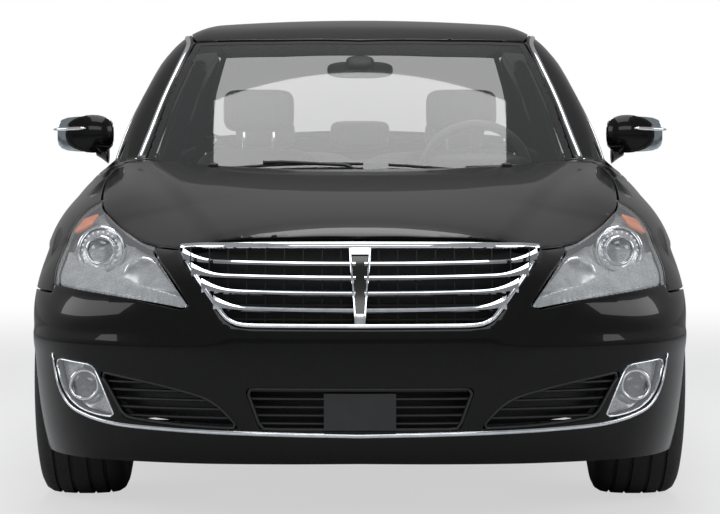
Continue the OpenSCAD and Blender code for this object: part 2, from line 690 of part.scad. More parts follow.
module slatted(line, heights, half) {
    intersection() {
        offset(delta = -seam) polygon(in_end(line));
        union() {
            difference() {
                polygon(in_end(line));
                offset(delta = -8) polygon(in_end(line));
            }
            bars(heights, 9, half);
        }
    }
}
module bumper_grilles() {
    color("#17181a") {
        one_skin() intersection() {
            end_wall(spread(-19, 19, 6), [for (z = [262, 300, 340, 384]) z * sz], -1, 14, 2);
            end_cut(-2800, -2200) {
                slatted(mirrored(lower_grille_line), lower_grille_bar_z, 400);
                translate([-92, 272 * sz]) square([184, 100 * sz]);
            }
        }
        both_sides() one_skin() intersection() {
            end_wall(spread(15, 42, 5), [for (z = [262, 310, 360, 420]) z * sz], -1, 14, 2);
            end_cut(-2800, -1900) slatted(intake_line, [310, 345], 900);
        }
    }
}

// ---- Hood and trunk lid ----
hood_half_line = [[-2460, 380], [-2385, 436], [-2353, 497], [-2300, 546], [-2218, 599],
    [-2050, 666], [-1914, 715], [-1811, 751], [-1661, 768], [-1450, 780], [-1256, 785],
    [-1130, 772], [-1040, 740]];
hood_axis = [-1040 * sy, 944 * sz];
trunk_axis = [1795 * sy, 1060 * sz];
hood_pin_x = 684;          // middle of a lid's hinge, from the middle of the car
trunk_pin_x = 400;
lid_pin_l = 60;
// The eye of a lid's hinge round its pin, with the arm that runs into the lid
eye_wall = 2.5;
module lid_eyes(x, axis, arm_y, arm_from, arm_to) {
    both_sides() translate([x * sx, axis[0], axis[1]]) {
        rotate([0, 90, 0]) cylinder(h = lid_pin_l / 2, d = hinge_pin_d + 2 * eye_wall, center = true, $fn = 16);
        translate([-lid_pin_l / 4, min(arm_y, 0), arm_from]) cube([lid_pin_l / 2, abs(arm_y), arm_to - arm_from]);
    }
}
module lid_bores(x, axis) {
    both_sides() translate([x * sx, axis[0], axis[1]]) rotate([0, 90, 0])
        cylinder(h = lid_pin_l, d = hinge_pin_d + 2 * pin_play, center = true, $fn = 16);
}
module hood() {
    color("#101113") one_skin() difference() {
        union() {
            intersection() {
                top_panel(hood_half_line, [-2460, -2385, -2300, -2218, -2130, -2050, -1914, -1811, -1661,
                    -1450, -1256, -1130, -1040], 6, lid_t);
                plan_cut() hood_outline();
            }
            lid_eyes(hood_pin_x, hood_axis, -90 * sy, 3, 20);
        }
        lid_bores(hood_pin_x, hood_axis);
    }
}
module trunk_lid() {
    angles = [4, 14, 24, 33, 38, 44, 54, 68, 84, 100, 114, 124, 130];
    xs = spread(-696, 696, 8);
    outer = [for (x = xs) [for (a = angles) trunk_point(x * sx, a)]];
    color("#101113") one_skin() difference() {
        union() {
            difference() {
                intersection() {
                    wall(outer, [for (row = outer) [for (i = [0 : len(row) - 1])
                        row[i] - lid_t * [0, cos(angles[i]), sin(angles[i])]]]);
                    plan_cut() trunk_outline();
                    translate([-900 * sx, 1500 * sy, rear_bumper_z * sz + panel_gap])
                        cube([1800 * sx, 1200 * sy, 600 * sz]);
                }
                // Pockets under the lid for the cheeks of its hinges
                both_sides() translate([trunk_pin_x * sx - lid_pin_l / 2 - 6, trunk_axis[0] - 60, trunk_axis[1] - 60])
                    cube([lid_pin_l + 12, 76, 68]);
            }
            lid_eyes(trunk_pin_x, trunk_axis, 40, -7, 6);
        }
        lid_bores(trunk_pin_x, trunk_axis);
    }
}
// A pin between two cheeks that stands on a bracket, for one hinge of a lid
module lid_pin(x, axis, foot_z) {
    cheek = 6;
    both_sides() translate([x * sx, axis[0], axis[1]]) {
        rotate([0, 90, 0]) cylinder(h = lid_pin_l - 2, d = hinge_pin_d, center = true);
        for (side = [-1, 1]) translate([side * (lid_pin_l / 2 - cheek / 2) - cheek / 2, -hinge_pin_d / 2,
            foot_z - axis[1]]) cube([cheek, hinge_pin_d, axis[1] - foot_z + hinge_pin_d / 2 - 1]);
    }
}

// ---- Floor, bulkheads and what stands on them ----
floor_z = 200;             // underside of the cabin floor
firewall_y = -1160 * sy;   // rear face of the firewall
firewall_top = 895 * sz;
tunnel_w = 240;
tunnel_z = 325;            // top of the tunnel over the drive shaft
kick_y = 900 * sy;         // step up behind the rear seat
trunk_floor_z = 400;
bulkhead_y = 1262 * sy;
apron_x = 478 * sx;
house_x = 600 * sx;        // inner faces of the rear wheel houses
module box(from, to) { translate(from) cube(to - from); }
module floor_pan() {
    w = sill_x - seam;
    shelf_z = 1004 * sz;
    front_w = 712 * sx;
    color("#2c2d2f") {
        difference() {
            union() {
                box([-w, firewall_y - floor_t, floor_z], [w, kick_y, floor_z + floor_t]);
                box([-tunnel_w / 2 - floor_t, firewall_y - floor_t, floor_z],
                    [tunnel_w / 2 + floor_t, kick_y, tunnel_z]);
                box([-front_w, firewall_y - floor_t, floor_z], [front_w, firewall_y, firewall_top]);
                box([-house_x, kick_y - floor_t, floor_z], [house_x, kick_y, trunk_floor_z + floor_t]);
                box([-house_x, kick_y - floor_t, trunk_floor_z],
                    [house_x, 2390 * sy, trunk_floor_z + floor_t]);
                box([-house_x, bulkhead_y, trunk_floor_z], [house_x, bulkhead_y + floor_t, shelf_z]);
                box([-house_x, bulkhead_y, shelf_z - floor_t], [house_x, 1805 * sy, shelf_z]);
                box([-house_x, 2370 * sy, 330], [house_x, 2390 * sy, 735 * sz]);
                both_sides() {
                    box([house_x, 960 * sy, trunk_floor_z], [house_x + 12, 2340 * sy, 860 * sz]);
                    box([house_x, bulkhead_y, trunk_floor_z], [house_x + 12, 1725 * sy, shelf_z]);
                    box([apron_x, -2290 * sy, 250], [apron_x + 12, firewall_y - floor_t, 700 * sz]);
                    box([apron_x, -1800 * sy, 250], [apron_x + 12, firewall_y - floor_t, 860 * sz]);
                }
            }
            box([-tunnel_w / 2, firewall_y - floor_t - overlap, floor_z - overlap],
                [tunnel_w / 2, kick_y + overlap, tunnel_z - floor_t]);
        }
        lid_pin(trunk_pin_x, trunk_axis, shelf_z);
    }
}
module cowl() {
    cowl_x = 722 * sx;
    color("#17181a") {
        box([-cowl_x, -1286 * sy, firewall_top + seam], [cowl_x, -1020 * sy, firewall_top + 16]);
        lid_pin(hood_pin_x, hood_axis, firewall_top + 16);
        for (wiper = [[-1, 560], [1, 620]])
            translate([wiper[0] * 300 * sx - wiper[1] / 2, -1180 * sy, firewall_top + 16])
                cube([wiper[1], 18, 12]);
    }
}
module along_x(from, to) {
    translate([from, 0, 0]) rotate([90, 0, 90]) linear_extrude(to - from) children();
}
wheel_hub = [387 * sx, -580 * sy, 940 * sz];
column_pin_d = 24;
function column_axis(d) = [0, d * cos(column_rake), d * sin(column_rake)];
module on_column() {
    translate(wheel_hub) rotate([-90 + column_rake, 0, 0]) children();
}
module dashboard() {
    dash_x = 700 * sx;
    color("#3a3b3d") {
        difference() {
            union() {
                along_x(-dash_x, dash_x) polygon(in_side([[-1159.4, 780], [-1159.4, 876], [-1015, 886],
                    [-950, 915], [-840, 945], [-730, 936], [-680, 880], [-690, 740], [-760, 620], [-900, 560]]));
                on_column() translate([0, 0, -150]) cylinder(h = 127, d = 76);
                on_column() translate([0, 0, -60]) cylinder(h = 75, d = column_pin_d);
            }
        }
        // Centre console on the tunnel
        along_x(-96, 96) polygon([[-758 * sy, tunnel_z + seam], [120 * sy, tunnel_z + seam],
            [120 * sy, 560], [-420 * sy, 575], [-690 * sy - 70 + 60, 612]]);
    }
}
module steering_wheel() {
    grip_d = 32;
    r = steering_wheel_d / 2 - grip_d / 2;
    color("#232426") on_column() difference() {
        union() {
            rotate_extrude() translate([r, 0]) circle(d = grip_d);
            cylinder(h = 44, d = 130, center = true);
            for (a = [0, 90, 180]) rotate(a + 180) translate([0, -18, -9]) cube([r, 36, 18]);
        }
        translate([0, 0, -30]) cylinder(h = 45 + pin_play, d = column_pin_d + 2 * pin_play);
    }
}
seat_x = 375 * sx;
module seats() {
    base_z = floor_z + floor_t + seam;
    rear_x = 590 * sx;
    color("#8b8c8a") {
        both_sides() {
            along_x(seat_x - 200, seat_x + 200)
                polygon(in_side([[-330, base_z / sz], [110, base_z / sz], [110, 329.6], [-330, 329.6]]));
            along_x(seat_x - seat_w / 2, seat_x + seat_w / 2)
                polygon(in_side([[-400, 345], [-370, 330], [150, 330], [150, 470], [60, 450], [-340, 490],
                    [-395, 450]]));
            along_x(seat_x - seat_w / 2, seat_x + seat_w / 2)
                polygon(in_side([[150.6, 330], [250, 330], [300, 520], [400, 1010], [330, 1040], [290, 1000],
                    [150.6, 480]]));
            along_x(seat_x - 60, seat_x + 60) polygon(in_side([[350, 1032], [385, 1017], [392, 1076.6],
                [362, 1078.2]]));
            along_x(seat_x - 135, seat_x + 135)
                polygon(in_side([[330, 1080.6], [420, 1075.6], [435, 1180], [410, 1245], [350, 1240],
                    [325, 1160]]));
        }
        along_x(-rear_x, rear_x)
            polygon([[500 * sy, tunnel_z + seam], [kick_y - floor_t - seam, tunnel_z + seam],
                [kick_y - floor_t - seam, trunk_floor_z + floor_t + seam], [1000 * sy, trunk_floor_z + floor_t + seam],
                [1000 * sy, 470], [520 * sy, 500], [490 * sy, 440]]);
        along_x(-rear_x, rear_x)
            polygon([[1000.6 * sy, trunk_floor_z + floor_t + seam], [bulkhead_y - seam, trunk_floor_z + floor_t + seam],
                [bulkhead_y - seam, 1008 * sz], [1190 * sy, 1020 * sz], [1130 * sy, 960 * sz], [1000.6 * sy, 480]]);
        for (x = [-380, 0, 380]) along_x(x * sx - 120, x * sx + 120)
            polygon(in_side([[1165, 1024], [1190, 1020.6], [1261, 1008.8], [1255, 1130], [1185, 1140], [1160, 1080]]));
    }
}
module interior_mirror() {
    color("#17181a") {
        hull() {
            translate([0, -310 * sy, 1290 * sz]) cube([230, 20, 62], center = true);
            translate([0, -325 * sy, 1290 * sz]) cube([190, 20, 40], center = true);
        }
        hull() {
            translate([0, -335.2 * sy, 1300 * sz]) cube([30, 0.4, 30], center = true);
            translate([0, -400 * sy, 1329.1 * sz]) cube([80, 60, 1], center = true);
        }
    }
}

// ---- Engine bay ----
module engine() {
    color("#5a5c5f") {
        box([-240, -2120 * sy, 260], [240, -1520 * sy, 740 * sz]);
        box([-100, -1519.4 * sy, 270], [100, firewall_y - floor_t - 2, 520]);
        both_sides() box([240 + seam, -1760 * sy, 300], [apron_x - seam, -1720 * sy, 360]);
    }
}
module radiator() {
    color("#2c2d2f") {
        box([-620 * sx, -2440 * sy, 440], [620 * sx, -2390 * sy, 530]);
        both_sides() box([apron_x - 60, -2390 * sy + seam, 450], [apron_x + 12, -2290 * sy - seam, 520]);
        box([-apron_x + seam, -2289 * sy, 250], [apron_x - seam, -2230 * sy, 690 * sz]);
    }
}

// ---- Suspension, hubs and wheels ----
kingpin_x = wheel_x - 110;
pin_d = 24;                // pins of the knuckle and the arm's eye round each
eye_d = 56;
arm_low = wheel_z - 150;
arm_high = wheel_z + 152;
arm_h = 24;
spindle_d = 40;
module knuckle() {
    foot = arm_low + arm_h / 2;
    head = arm_high - arm_h / 2;
    color("#6d7073") translate([kingpin_x, front_axle_y, 0]) {
        translate([-22, -24, foot + pin_play]) cube([44, 48, head - foot - 2 * pin_play]);
        translate([0, 0, arm_low - arm_h / 2]) cylinder(h = arm_high - arm_low + arm_h, d = pin_d);
        translate([0, 0, wheel_z]) rotate([0, 90, 0]) cylinder(h = 160, d = spindle_d);
        caliper(22);
    }
}
// A brake caliper over the rear of the disc, on an arm from the carrier's face
disc_x = 46;               // inner face of the disc from the kingpin
disc_t = 22;
module caliper(face) {
    inner_r = disc_d / 2 - 60;
    outer_r = disc_d / 2 + 18;
    play = 5;
    translate([0, 0, wheel_z]) difference() {
        union() {
            translate([face - 8, inner_r, -45]) cube([disc_x + disc_t + play + 24 - face + 8,
                outer_r - inner_r, 90]);
            translate([face - 8, 0, -20]) cube([16, inner_r + 10, 40]);
        }
        translate([disc_x - play, 0, -60]) cube([disc_t + 2 * play, disc_d / 2 + play, 120]);
    }
}
module knuckle_left() { knuckle(); }
module knuckle_right() { mirror([1, 0, 0]) knuckle(); }
module arm(z, from_x, to_x, y) {
    difference() {
        union() {
            translate([to_x, y, z - arm_h / 2]) cylinder(h = arm_h, d = eye_d);
            translate([from_x, y - 22, z - arm_h / 2]) cube([to_x - from_x, 44, arm_h]);
        }
        translate([to_x, y, z - arm_h]) cylinder(h = 2 * arm_h, d = pin_d + 2 * pin_play);
    }
}
module front_suspension() {
    strut_x = 575 * sx;
    color("#3c3e40") {
        box([-apron_x, front_axle_y - 50, 195], [apron_x, front_axle_y + 50, 249]);
        both_sides() {
            arm(arm_low, apron_x - 20, kingpin_x, front_axle_y);
            arm(arm_high, apron_x + 12 + seam, kingpin_x, front_axle_y);
            translate([strut_x, front_axle_y, arm_high + arm_h / 2]) cylinder(h = 230, d = 76);
            translate([apron_x + 12 + seam, front_axle_y - 60, arm_high + arm_h / 2 + 230])
                cube([150 * sx, 120, 12]);
        }
    }
}
module rear_suspension() {
    hub_x = wheel_x - 110;
    color("#3c3e40") {
        difference() {
            box([-430 * sx, rear_axle_y - 180, 240], [430 * sx, rear_axle_y + 180, 330]);
            box([-300 * sx, rear_axle_y - 120, 230], [300 * sx, rear_axle_y + 120, 340]);
        }
        box([-120, rear_axle_y - 119.7, 230], [120, rear_axle_y + 119.7, 390]);
        both_sides() {
            translate([hub_x, rear_axle_y, 0]) {
                translate([-22, -24, arm_low - arm_h / 2]) cube([44, 48, arm_high - arm_low + arm_h]);
                translate([0, 0, wheel_z]) rotate([0, 90, 0]) cylinder(h = 160, d = spindle_d);
                caliper(22);
            }
            box([430 * sx + seam, rear_axle_y - 22, 262], [hub_x - 22 - seam, rear_axle_y + 22, 290]);
            translate([540 * sx, rear_axle_y, 290 + seam]) cylinder(h = trunk_floor_z - 290 - 2 * seam, d = 90);
        }
    }
}
module exhaust_and_drive_shaft() {
    shaft_z = 266;
    pipe_x = 70;
    pipe_z = 198;
    box_y = 1830 * sy;
    tip_z = 150;
    color("#84878a") {
        translate([0, firewall_y - floor_t + 10, shaft_z]) rotate([-90, 0, 0])
            cylinder(h = rear_axle_y - 180.5 - firewall_y + floor_t - 10, d = 54);
        both_sides() {
            translate([pipe_x, firewall_y - 320, pipe_z]) rotate([-90, 0, 0])
                cylinder(h = box_y - firewall_y + 320 + overlap, d = 56);
            for (y = [-900, 300]) box([pipe_x - 4, y * sy - 10, pipe_z], [pipe_x + 4, y * sy + 10,
                tunnel_z - floor_t - seam]);
            translate([430 * sx, 2200 * sy, tip_z]) rotate([-90, 0, 0]) cylinder(h = 290 * sy, d = 60);
        }
        box([-560 * sx, box_y, 168], [560 * sx, 2290 * sy, trunk_floor_z - seam]);
    }
}
rim_in = wheel_x - tyre_w / 2 + 8;
rim_out = wheel_x + tyre_w / 2 - 8;
module rim() {
    barrel_t = 9;
    hub_d = 130;
    seat_r = rim_d / 2 - 0.6;
    well_r = seat_r - 18;
    hub_from = kingpin_x + disc_x;
    hub_to = rim_out - 12;
    color("#b9bcc0") rotate([0, 90, 0]) difference() {
        union() {
            rotate_extrude() polygon([[seat_r - 12, rim_in], [seat_r + 10, rim_in], [seat_r + 10, rim_in + 6],
                [seat_r, rim_in + 10], [seat_r, rim_in + 50], [well_r + 9, rim_in + 70],
                [well_r + 9, rim_out - 70], [seat_r, rim_out - 50], [seat_r, rim_out - 10],
                [seat_r + 10, rim_out - 6], [seat_r + 10, rim_out], [seat_r - 12, rim_out],
                [seat_r - 12, rim_out - 44], [well_r, rim_out - 60], [well_r, rim_in + 60],
                [seat_r - barrel_t, rim_in + 40]]);
            translate([0, 0, hub_from]) cylinder(h = hub_to - hub_from, d = hub_d);
            for (i = [0 : spoke_count - 1]) rotate((i + 0.5) * 360 / spoke_count)
                translate([50, 0, hub_to - 30]) linear_extrude(28)
                    polygon([[0, -24], [seat_r - 56, -15], [seat_r - 56, 15], [0, 24]]);
        }
        translate([0, 0, kingpin_x]) cylinder(h = 161, d = spindle_d + 2 * pin_play);
    }
    // The brake disc, centred on the hub
    color("#8d8f91") rotate([0, 90, 0]) translate([0, 0, hub_from]) difference() {
        cylinder(h = disc_t, d = disc_d);
        translate([0, 0, -overlap]) cylinder(h = disc_t + 2 * overlap, d = hub_d + 2 * pin_play);
    }
}
module tyre() {
    bead = rim_d / 2 - 0.3;
    r = tyre_d / 2;
    from = wheel_x - tyre_w / 2;
    to = wheel_x + tyre_w / 2;
    lip = rim_in + 10.3 - from;
    color("#161616") rotate([0, 90, 0]) rotate_extrude($fn = 96)
        polygon([[bead, from + lip], [bead + 14, from + lip - 4], [bead + 40, from + 1], [r - 45, from],
            [r - 18, from + 10], [r - 5, from + 26], [r, from + 48],
            [r, to - 48], [r - 5, to - 26], [r - 18, to - 10], [r - 45, to], [bead + 40, to - 1],
            [bead + 14, to - lip + 4], [bead, to - lip], [bead, to - lip - 30],
            [bead + 22, to - lip - 46], [bead + 22, from + lip + 46], [bead, from + lip + 30]]);
}
module at_wheel(axle_y, side) {
    mirror([side < 0 ? 1 : 0, 0, 0]) translate([0, axle_y, wheel_z]) children();
}
module rim_front_left() { at_wheel(front_axle_y, 1) rim(); }
module rim_front_right() { at_wheel(front_axle_y, -1) rim(); }
module rim_rear_left() { at_wheel(rear_axle_y, 1) rim(); }
module rim_rear_right() { at_wheel(rear_axle_y, -1) rim(); }
module tyre_front_left() { at_wheel(front_axle_y, 1) tyre(); }
module tyre_front_right() { at_wheel(front_axle_y, -1) tyre(); }
module tyre_rear_left() { at_wheel(rear_axle_y, 1) tyre(); }
module tyre_rear_right() { at_wheel(rear_axle_y, -1) tyre(); }

floor_pan();
side_frames();
front_fenders();
rear_quarters();
roof_panel();
front_bumper();
rear_bumper();
grille();
bumper_grilles();
front_lamps();
tail_lamps();
windshield();
rear_window();
cowl();
dashboard();
seats();
interior_mirror();
engine();
radiator();
front_suspension();
rear_suspension();
exhaust_and_drive_shaft();
hood();
trunk_lid();
steering_wheel();
front_door_left();
front_door_right();
rear_door_left();
rear_door_right();
front_glass_left();
front_glass_right();
rear_glass_left();
rear_glass_right();
door_mirror_left();
door_mirror_right();
knuckle_left();
knuckle_right();
rim_front_left();
rim_front_right();
rim_rear_left();
rim_rear_right();
tyre_front_left();
tyre_front_right();
tyre_rear_left();
tyre_rear_right();
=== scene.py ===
# %% [markdown]
# # A full-size sedan
# This file dresses a car whose solids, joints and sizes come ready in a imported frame. Each step
# first says what a piece is on the real car, then how it is made in Blender and why that way.

# %% Load the frame
import bmesh, bpy, json, math
import numpy as np
from mathutils import Matrix, Vector
from mathutils.geometry import delaunay_2d_cdt

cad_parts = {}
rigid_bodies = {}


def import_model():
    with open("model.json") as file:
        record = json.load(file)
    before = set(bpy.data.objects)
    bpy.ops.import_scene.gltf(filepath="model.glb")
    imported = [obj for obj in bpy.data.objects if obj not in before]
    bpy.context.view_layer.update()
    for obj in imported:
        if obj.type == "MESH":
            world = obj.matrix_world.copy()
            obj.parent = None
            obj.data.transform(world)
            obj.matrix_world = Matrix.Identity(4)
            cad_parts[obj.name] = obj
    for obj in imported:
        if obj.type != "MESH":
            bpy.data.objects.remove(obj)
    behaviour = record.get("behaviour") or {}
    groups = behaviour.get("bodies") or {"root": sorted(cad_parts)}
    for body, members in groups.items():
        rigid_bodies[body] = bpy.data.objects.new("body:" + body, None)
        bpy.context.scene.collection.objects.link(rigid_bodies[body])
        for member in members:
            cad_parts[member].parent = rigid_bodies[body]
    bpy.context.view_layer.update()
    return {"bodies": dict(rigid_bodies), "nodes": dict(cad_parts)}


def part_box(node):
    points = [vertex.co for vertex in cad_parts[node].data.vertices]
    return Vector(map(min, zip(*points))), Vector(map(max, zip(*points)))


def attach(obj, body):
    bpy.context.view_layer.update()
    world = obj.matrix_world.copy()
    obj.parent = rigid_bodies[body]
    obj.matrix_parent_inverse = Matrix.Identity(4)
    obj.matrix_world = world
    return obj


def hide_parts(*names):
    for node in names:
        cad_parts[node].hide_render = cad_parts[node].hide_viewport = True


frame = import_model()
bodies, nodes = frame["bodies"], frame["nodes"]

# %% [markdown]
# ## Materials
# Every finish is a small tree of shader nodes. `finish` makes a material with one Principled
# shader, and `add` puts in a node with its settings and links. Colours are written as sRGB hex,
# as a paint chart gives them, and turned to linear light by `linear`. Patterns read Object
# coordinates in metres, so `per_mm` turns a real grain size into the scale of a noise.

# %% Helpers for materials
def linear(hex_colour):
    parts = [int(hex_colour[i:i + 2], 16) / 255 for i in (1, 3, 5)]
    return tuple(c / 12.92 if c < 0.04045 else ((c + 0.055) / 1.055) ** 2.4 for c in parts) + (1,)

def add(tree, kind, settings=None, links=None, sockets=None):
    node = tree.nodes.new(kind)
    for key, value in (settings or {}).items():
        setattr(node, key, value)
    for key, value in (sockets or {}).items():
        node.inputs[key].default_value = value
    for key, source in (links or {}).items():
        tree.links.new(source, node.inputs[key])
    return node

def per_mm(size_mm):
    return 1000 / size_mm

def finish(name, colour, colour_2, rough, grain_mm, bump=0.0, rough_spread=0.08, detail_mm=None, **sockets):
    """A finish with cloudy colour, uneven gloss and a fine relief; sockets go on the shader itself."""
    material = bpy.data.materials.new(name)
    material.use_nodes = True
    tree = material.node_tree
    tree.nodes.clear()
    where = add(tree, "ShaderNodeTexCoord").outputs["Object"]
    cloud = add(tree, "ShaderNodeTexNoise", links={"Vector": where},
                sockets={"Scale": per_mm(grain_mm * 12), "Detail": 4.0})
    grain = add(tree, "ShaderNodeTexNoise", links={"Vector": where},
                sockets={"Scale": per_mm(grain_mm), "Detail": 3.0})
    colours = add(tree, "ShaderNodeValToRGB", links={"Fac": cloud.outputs["Fac"]})
    colours.color_ramp.elements[0].position = 0.35
    colours.color_ramp.elements[0].color = linear(colour)
    colours.color_ramp.elements[1].position = 0.65
    colours.color_ramp.elements[1].color = linear(colour_2)
    gloss = add(tree, "ShaderNodeMapRange", links={"Value": grain.outputs["Fac"]},
                sockets={"To Min": max(rough - rough_spread, 0), "To Max": rough + rough_spread})
    relief = add(tree, "ShaderNodeBump", links={"Height": grain.outputs["Fac"]},
                 sockets={"Strength": bump, "Distance": (detail_mm or grain_mm) / 1000 * 0.2})
    shader = add(tree, "ShaderNodeBsdfPrincipled",
                 links={"Base Color": colours.outputs["Color"], "Roughness": gloss.outputs["Result"],
                        "Normal": relief.outputs["Normal"]}, sockets=sockets)
    add(tree, "ShaderNodeOutputMaterial", links={"Surface": shader.outputs["BSDF"]})
    material["tree_parts"] = len(tree.nodes)
    return material

# %% The car's finishes
# Clear lacquer over black: the coat gives the sharp reflections, the base stays nearly black
black_paint = finish("black_lacquer_paint", "#050506", "#08090a", 0.3, 1.2, 0.01, 0.03,
                     **{"Specular IOR Level": 0.05, "Coat Weight": 0.42, "Coat Roughness": 0.015,
                        "Coat IOR": 1.45})
# Polished chrome on moulded trim: bright, with faint polishing haze
chrome = finish("polished_chrome", "#e3e6ea", "#d2d6db", 0.09, 3, 0.01, 0.03, Metallic=1.0)
satin_alloy = finish("machined_alloy_wheel", "#b4b7bb", "#a4a8ad", 0.27, 1.5, 0.03, 0.06, Metallic=1.0)
cast_iron = finish("cast_iron", "#55575a", "#3f4144", 0.6, 2.5, 0.3, 0.1, Metallic=0.6)
black_plastic = finish("grained_black_plastic", "#131415", "#1b1c1e", 0.5, 0.9, 0.25, 0.08)
gloss_plastic = finish("gloss_black_plastic", "#0b0c0d", "#101113", 0.16, 2.0, 0.01, 0.03)
# Near-black, darker than the plastic itself: painted shade for the fins and the box deep inside the grille
painted_shade_black = finish("black_moulding_painted_shade", "#070708", "#0a0a0b", 0.75, 1.5, 0.2, 0.06)
underseal = finish("sprayed_underseal", "#17181a", "#232426", 0.82, 4, 0.5, 0.08)
rubber = finish("tyre_rubber", "#141415", "#1d1d1e", 0.72, 1.2, 0.2, 0.08)
seal_rubber = finish("door_seal_rubber", "#0d0d0e", "#141415", 0.65, 1.0, 0.1, 0.06)
dash_vinyl = finish("grained_vinyl", "#232427", "#2c2d31", 0.58, 1.4, 0.4, 0.07)
leather_hide = finish("seat_leather", "#4b4a4b", "#585657", 0.5, 2.6, 0.45, 0.08,
                      **{"Sheen Weight": 0.15})
headliner_cloth = finish("headliner_cloth", "#b9b5ac", "#aaa69d", 0.9, 1.2, 0.3, 0.05)
carpet = finish("floor_carpet", "#242424", "#313131", 0.95, 2.2, 0.6, 0.03)
exhaust_steel = finish("stainless_exhaust", "#8b8c8e", "#7a7570", 0.32, 5, 0.06, 0.1, Metallic=1.0)
reflector_silver = finish("aluminised_reflector", "#e9ebee", "#d9dce0", 0.12, 9, 0.02, 0.04, Metallic=1.0)
lamp_grey = finish("lamp_housing_grey", "#8f9396", "#a7abae", 0.28, 3, 0.05, 0.06, Metallic=0.5)
amber = finish("amber_reflector", "#c4682a", "#a8521c", 0.25, 2.0, 0.2, 0.05)
red_reflector = finish("red_reflector", "#7a0f12", "#640b0e", 0.2, 2.0, 0.2, 0.05)
plate_black = finish("blank_plate", "#17181a", "#1d1e20", 0.4, 4, 0.05, 0.05)
iron_engine = finish("engine_alloy", "#5a5c5f", "#47494c", 0.55, 3, 0.3, 0.1, Metallic=0.7)

print("finishes", len(bpy.data.materials))

# %% [markdown]
# ## The body's skin
# A car body is one flowing surface that is cut into panels. Here it is a function that is less
# than zero inside the car, built from the same design curves as the solids: a lower body and a
# glasshouse, each a soft maximum of a side, a top and ends. A panel takes its points by casting
# rays onto that skin, so that neighbouring panels line up to a hair and reflections run on over
# the shut lines. Sizes in this part are millimetres, as in a body drawing.

# %% Design curves: [station, value] pairs joined smoothly
PLAN = [(-2600, 895), (-2110, 918), (-1710, 936), (-1200, 938), (-600, 943), (0, 945), (700, 945),
        (1335, 943), (1800, 930), (2200, 908), (2600, 880)]
LEAN = [(150, 48), (250, 26), (350, 12), (500, 3), (640, 0), (760, 7), (820, 22), (870, 48),
        (920, 82), (980, 130), (1080, 240)]
DECK = [(-2650, 712), (-2480, 772), (-2300, 824), (-2050, 872), (-1750, 912), (-1450, 938),
        (-1150, 952), (-800, 962), (0, 972), (900, 1000), (1400, 1050), (1750, 1080), (2100, 1086),
        (2400, 1078), (2600, 1062)]
DROP = [(-2500, 190), (-2400, 175), (-2230, 147), (-1980, 100), (-1880, 76), (-1730, 46),
        (-1580, 24), (-1430, 6), (-1260, -14), (-1080, -32), (-800, -20), (0, 0), (1400, 20),
        (1750, 40), (2600, 60)]
NOSE = [(150, -2500), (220, -2535), (320, -2562), (450, -2580), (560, -2578), (640, -2560),
        (700, -2535), (770, -2490), (850, -2410)]
NOSE_SWEEP = [(0, 0), (200, 8), (400, 38), (560, 88), (680, 150), (780, 225), (860, 310),
              (920, 400), (980, 520)]
TAIL = [(150, 2480), (300, 2540), (450, 2575), (620, 2580), (700, 2560), (850, 2545), (1000, 2530),
        (1080, 2505)]
TAIL_SWEEP = [(0, 0), (200, 6), (400, 28), (560, 62), (680, 110), (780, 175), (860, 250),
              (920, 330), (980, 430)]
SHOULDER = [(-2580, 70), (-2300, 120), (-2000, 170), (-1700, 200), (-1100, 150), (-700, 60),
            (1100, 60), (1500, 120), (2100, 120), (2500, 70)]
GLASSHOUSE = [(-1150, 730), (-1000, 765), (-700, 812), (-300, 834), (0, 840), (700, 838),
              (1100, 822), (1500, 772), (1900, 690)]
TUMBLE = [(900, -30), (970, 0), (1100, 50), (1200, 93), (1306, 141), (1420, 200), (1500, 250)]
ROOF = [(-500, 1362), (-330, 1402), (-150, 1448), (100, 1482), (400, 1490), (750, 1478),
        (1000, 1450), (1200, 1410)]
ROOF_EDGE = [(-1100, 40), (-400, 50), (0, 110), (1000, 130), (1700, 110)]
BELT_BLEND = [(-1200, 12), (1000, 12), (1350, 60), (1800, 80)]

def track(line, t):
    """The smooth curve through the points of a design line."""
    stations, values = np.array(line, float).T
    slopes = np.empty(len(values))
    slopes[0] = (values[1] - values[0]) / (stations[1] - stations[0])
    slopes[-1] = (values[-1] - values[-2]) / (stations[-1] - stations[-2])
    slopes[1:-1] = (values[2:] - values[:-2]) / (stations[2:] - stations[:-2])
    t = np.asarray(t, float)
    inside = np.clip(t, stations[0], stations[-1])
    i = np.clip(np.searchsorted(stations, inside, side="right") - 1, 0, len(stations) - 2)
    width = stations[i + 1] - stations[i]
    s = (inside - stations[i]) / width
    curve = ((2 * s**3 - 3 * s**2 + 1) * values[i] + (s**3 - 2 * s**2 + s) * width * slopes[i]
             + (3 * s**2 - 2 * s**3) * values[i + 1] + (s**3 - s**2) * width * slopes[i + 1])
    return (curve + np.minimum(t - stations[0], 0) * slopes[0]
            + np.maximum(t - stations[-1], 0) * slopes[-1])

def soft_max(a, b, r):
    return np.maximum(a, b) + np.maximum(r - np.abs(a - b), 0) ** 2 / (4 * r)

def soft_step(t):
    t = np.clip(t, 0, 1)
    return t * t * (3 - 2 * t)

def lower_body(x, y, z):
    side = x - track(PLAN, y) + track(LEAN, z)
    nose = track(NOSE, z) + track(NOSE_SWEEP, x) - y
    tail = y - track(TAIL, z) + track(TAIL_SWEEP, x)
    deck = z - track(DECK, y) + track(DROP, y) * (np.maximum(x, 1e-6) / 760) ** 2.2
    return soft_max(soft_max(soft_max(side, nose, 160.0), tail, 120.0), deck, track(SHOULDER, y))

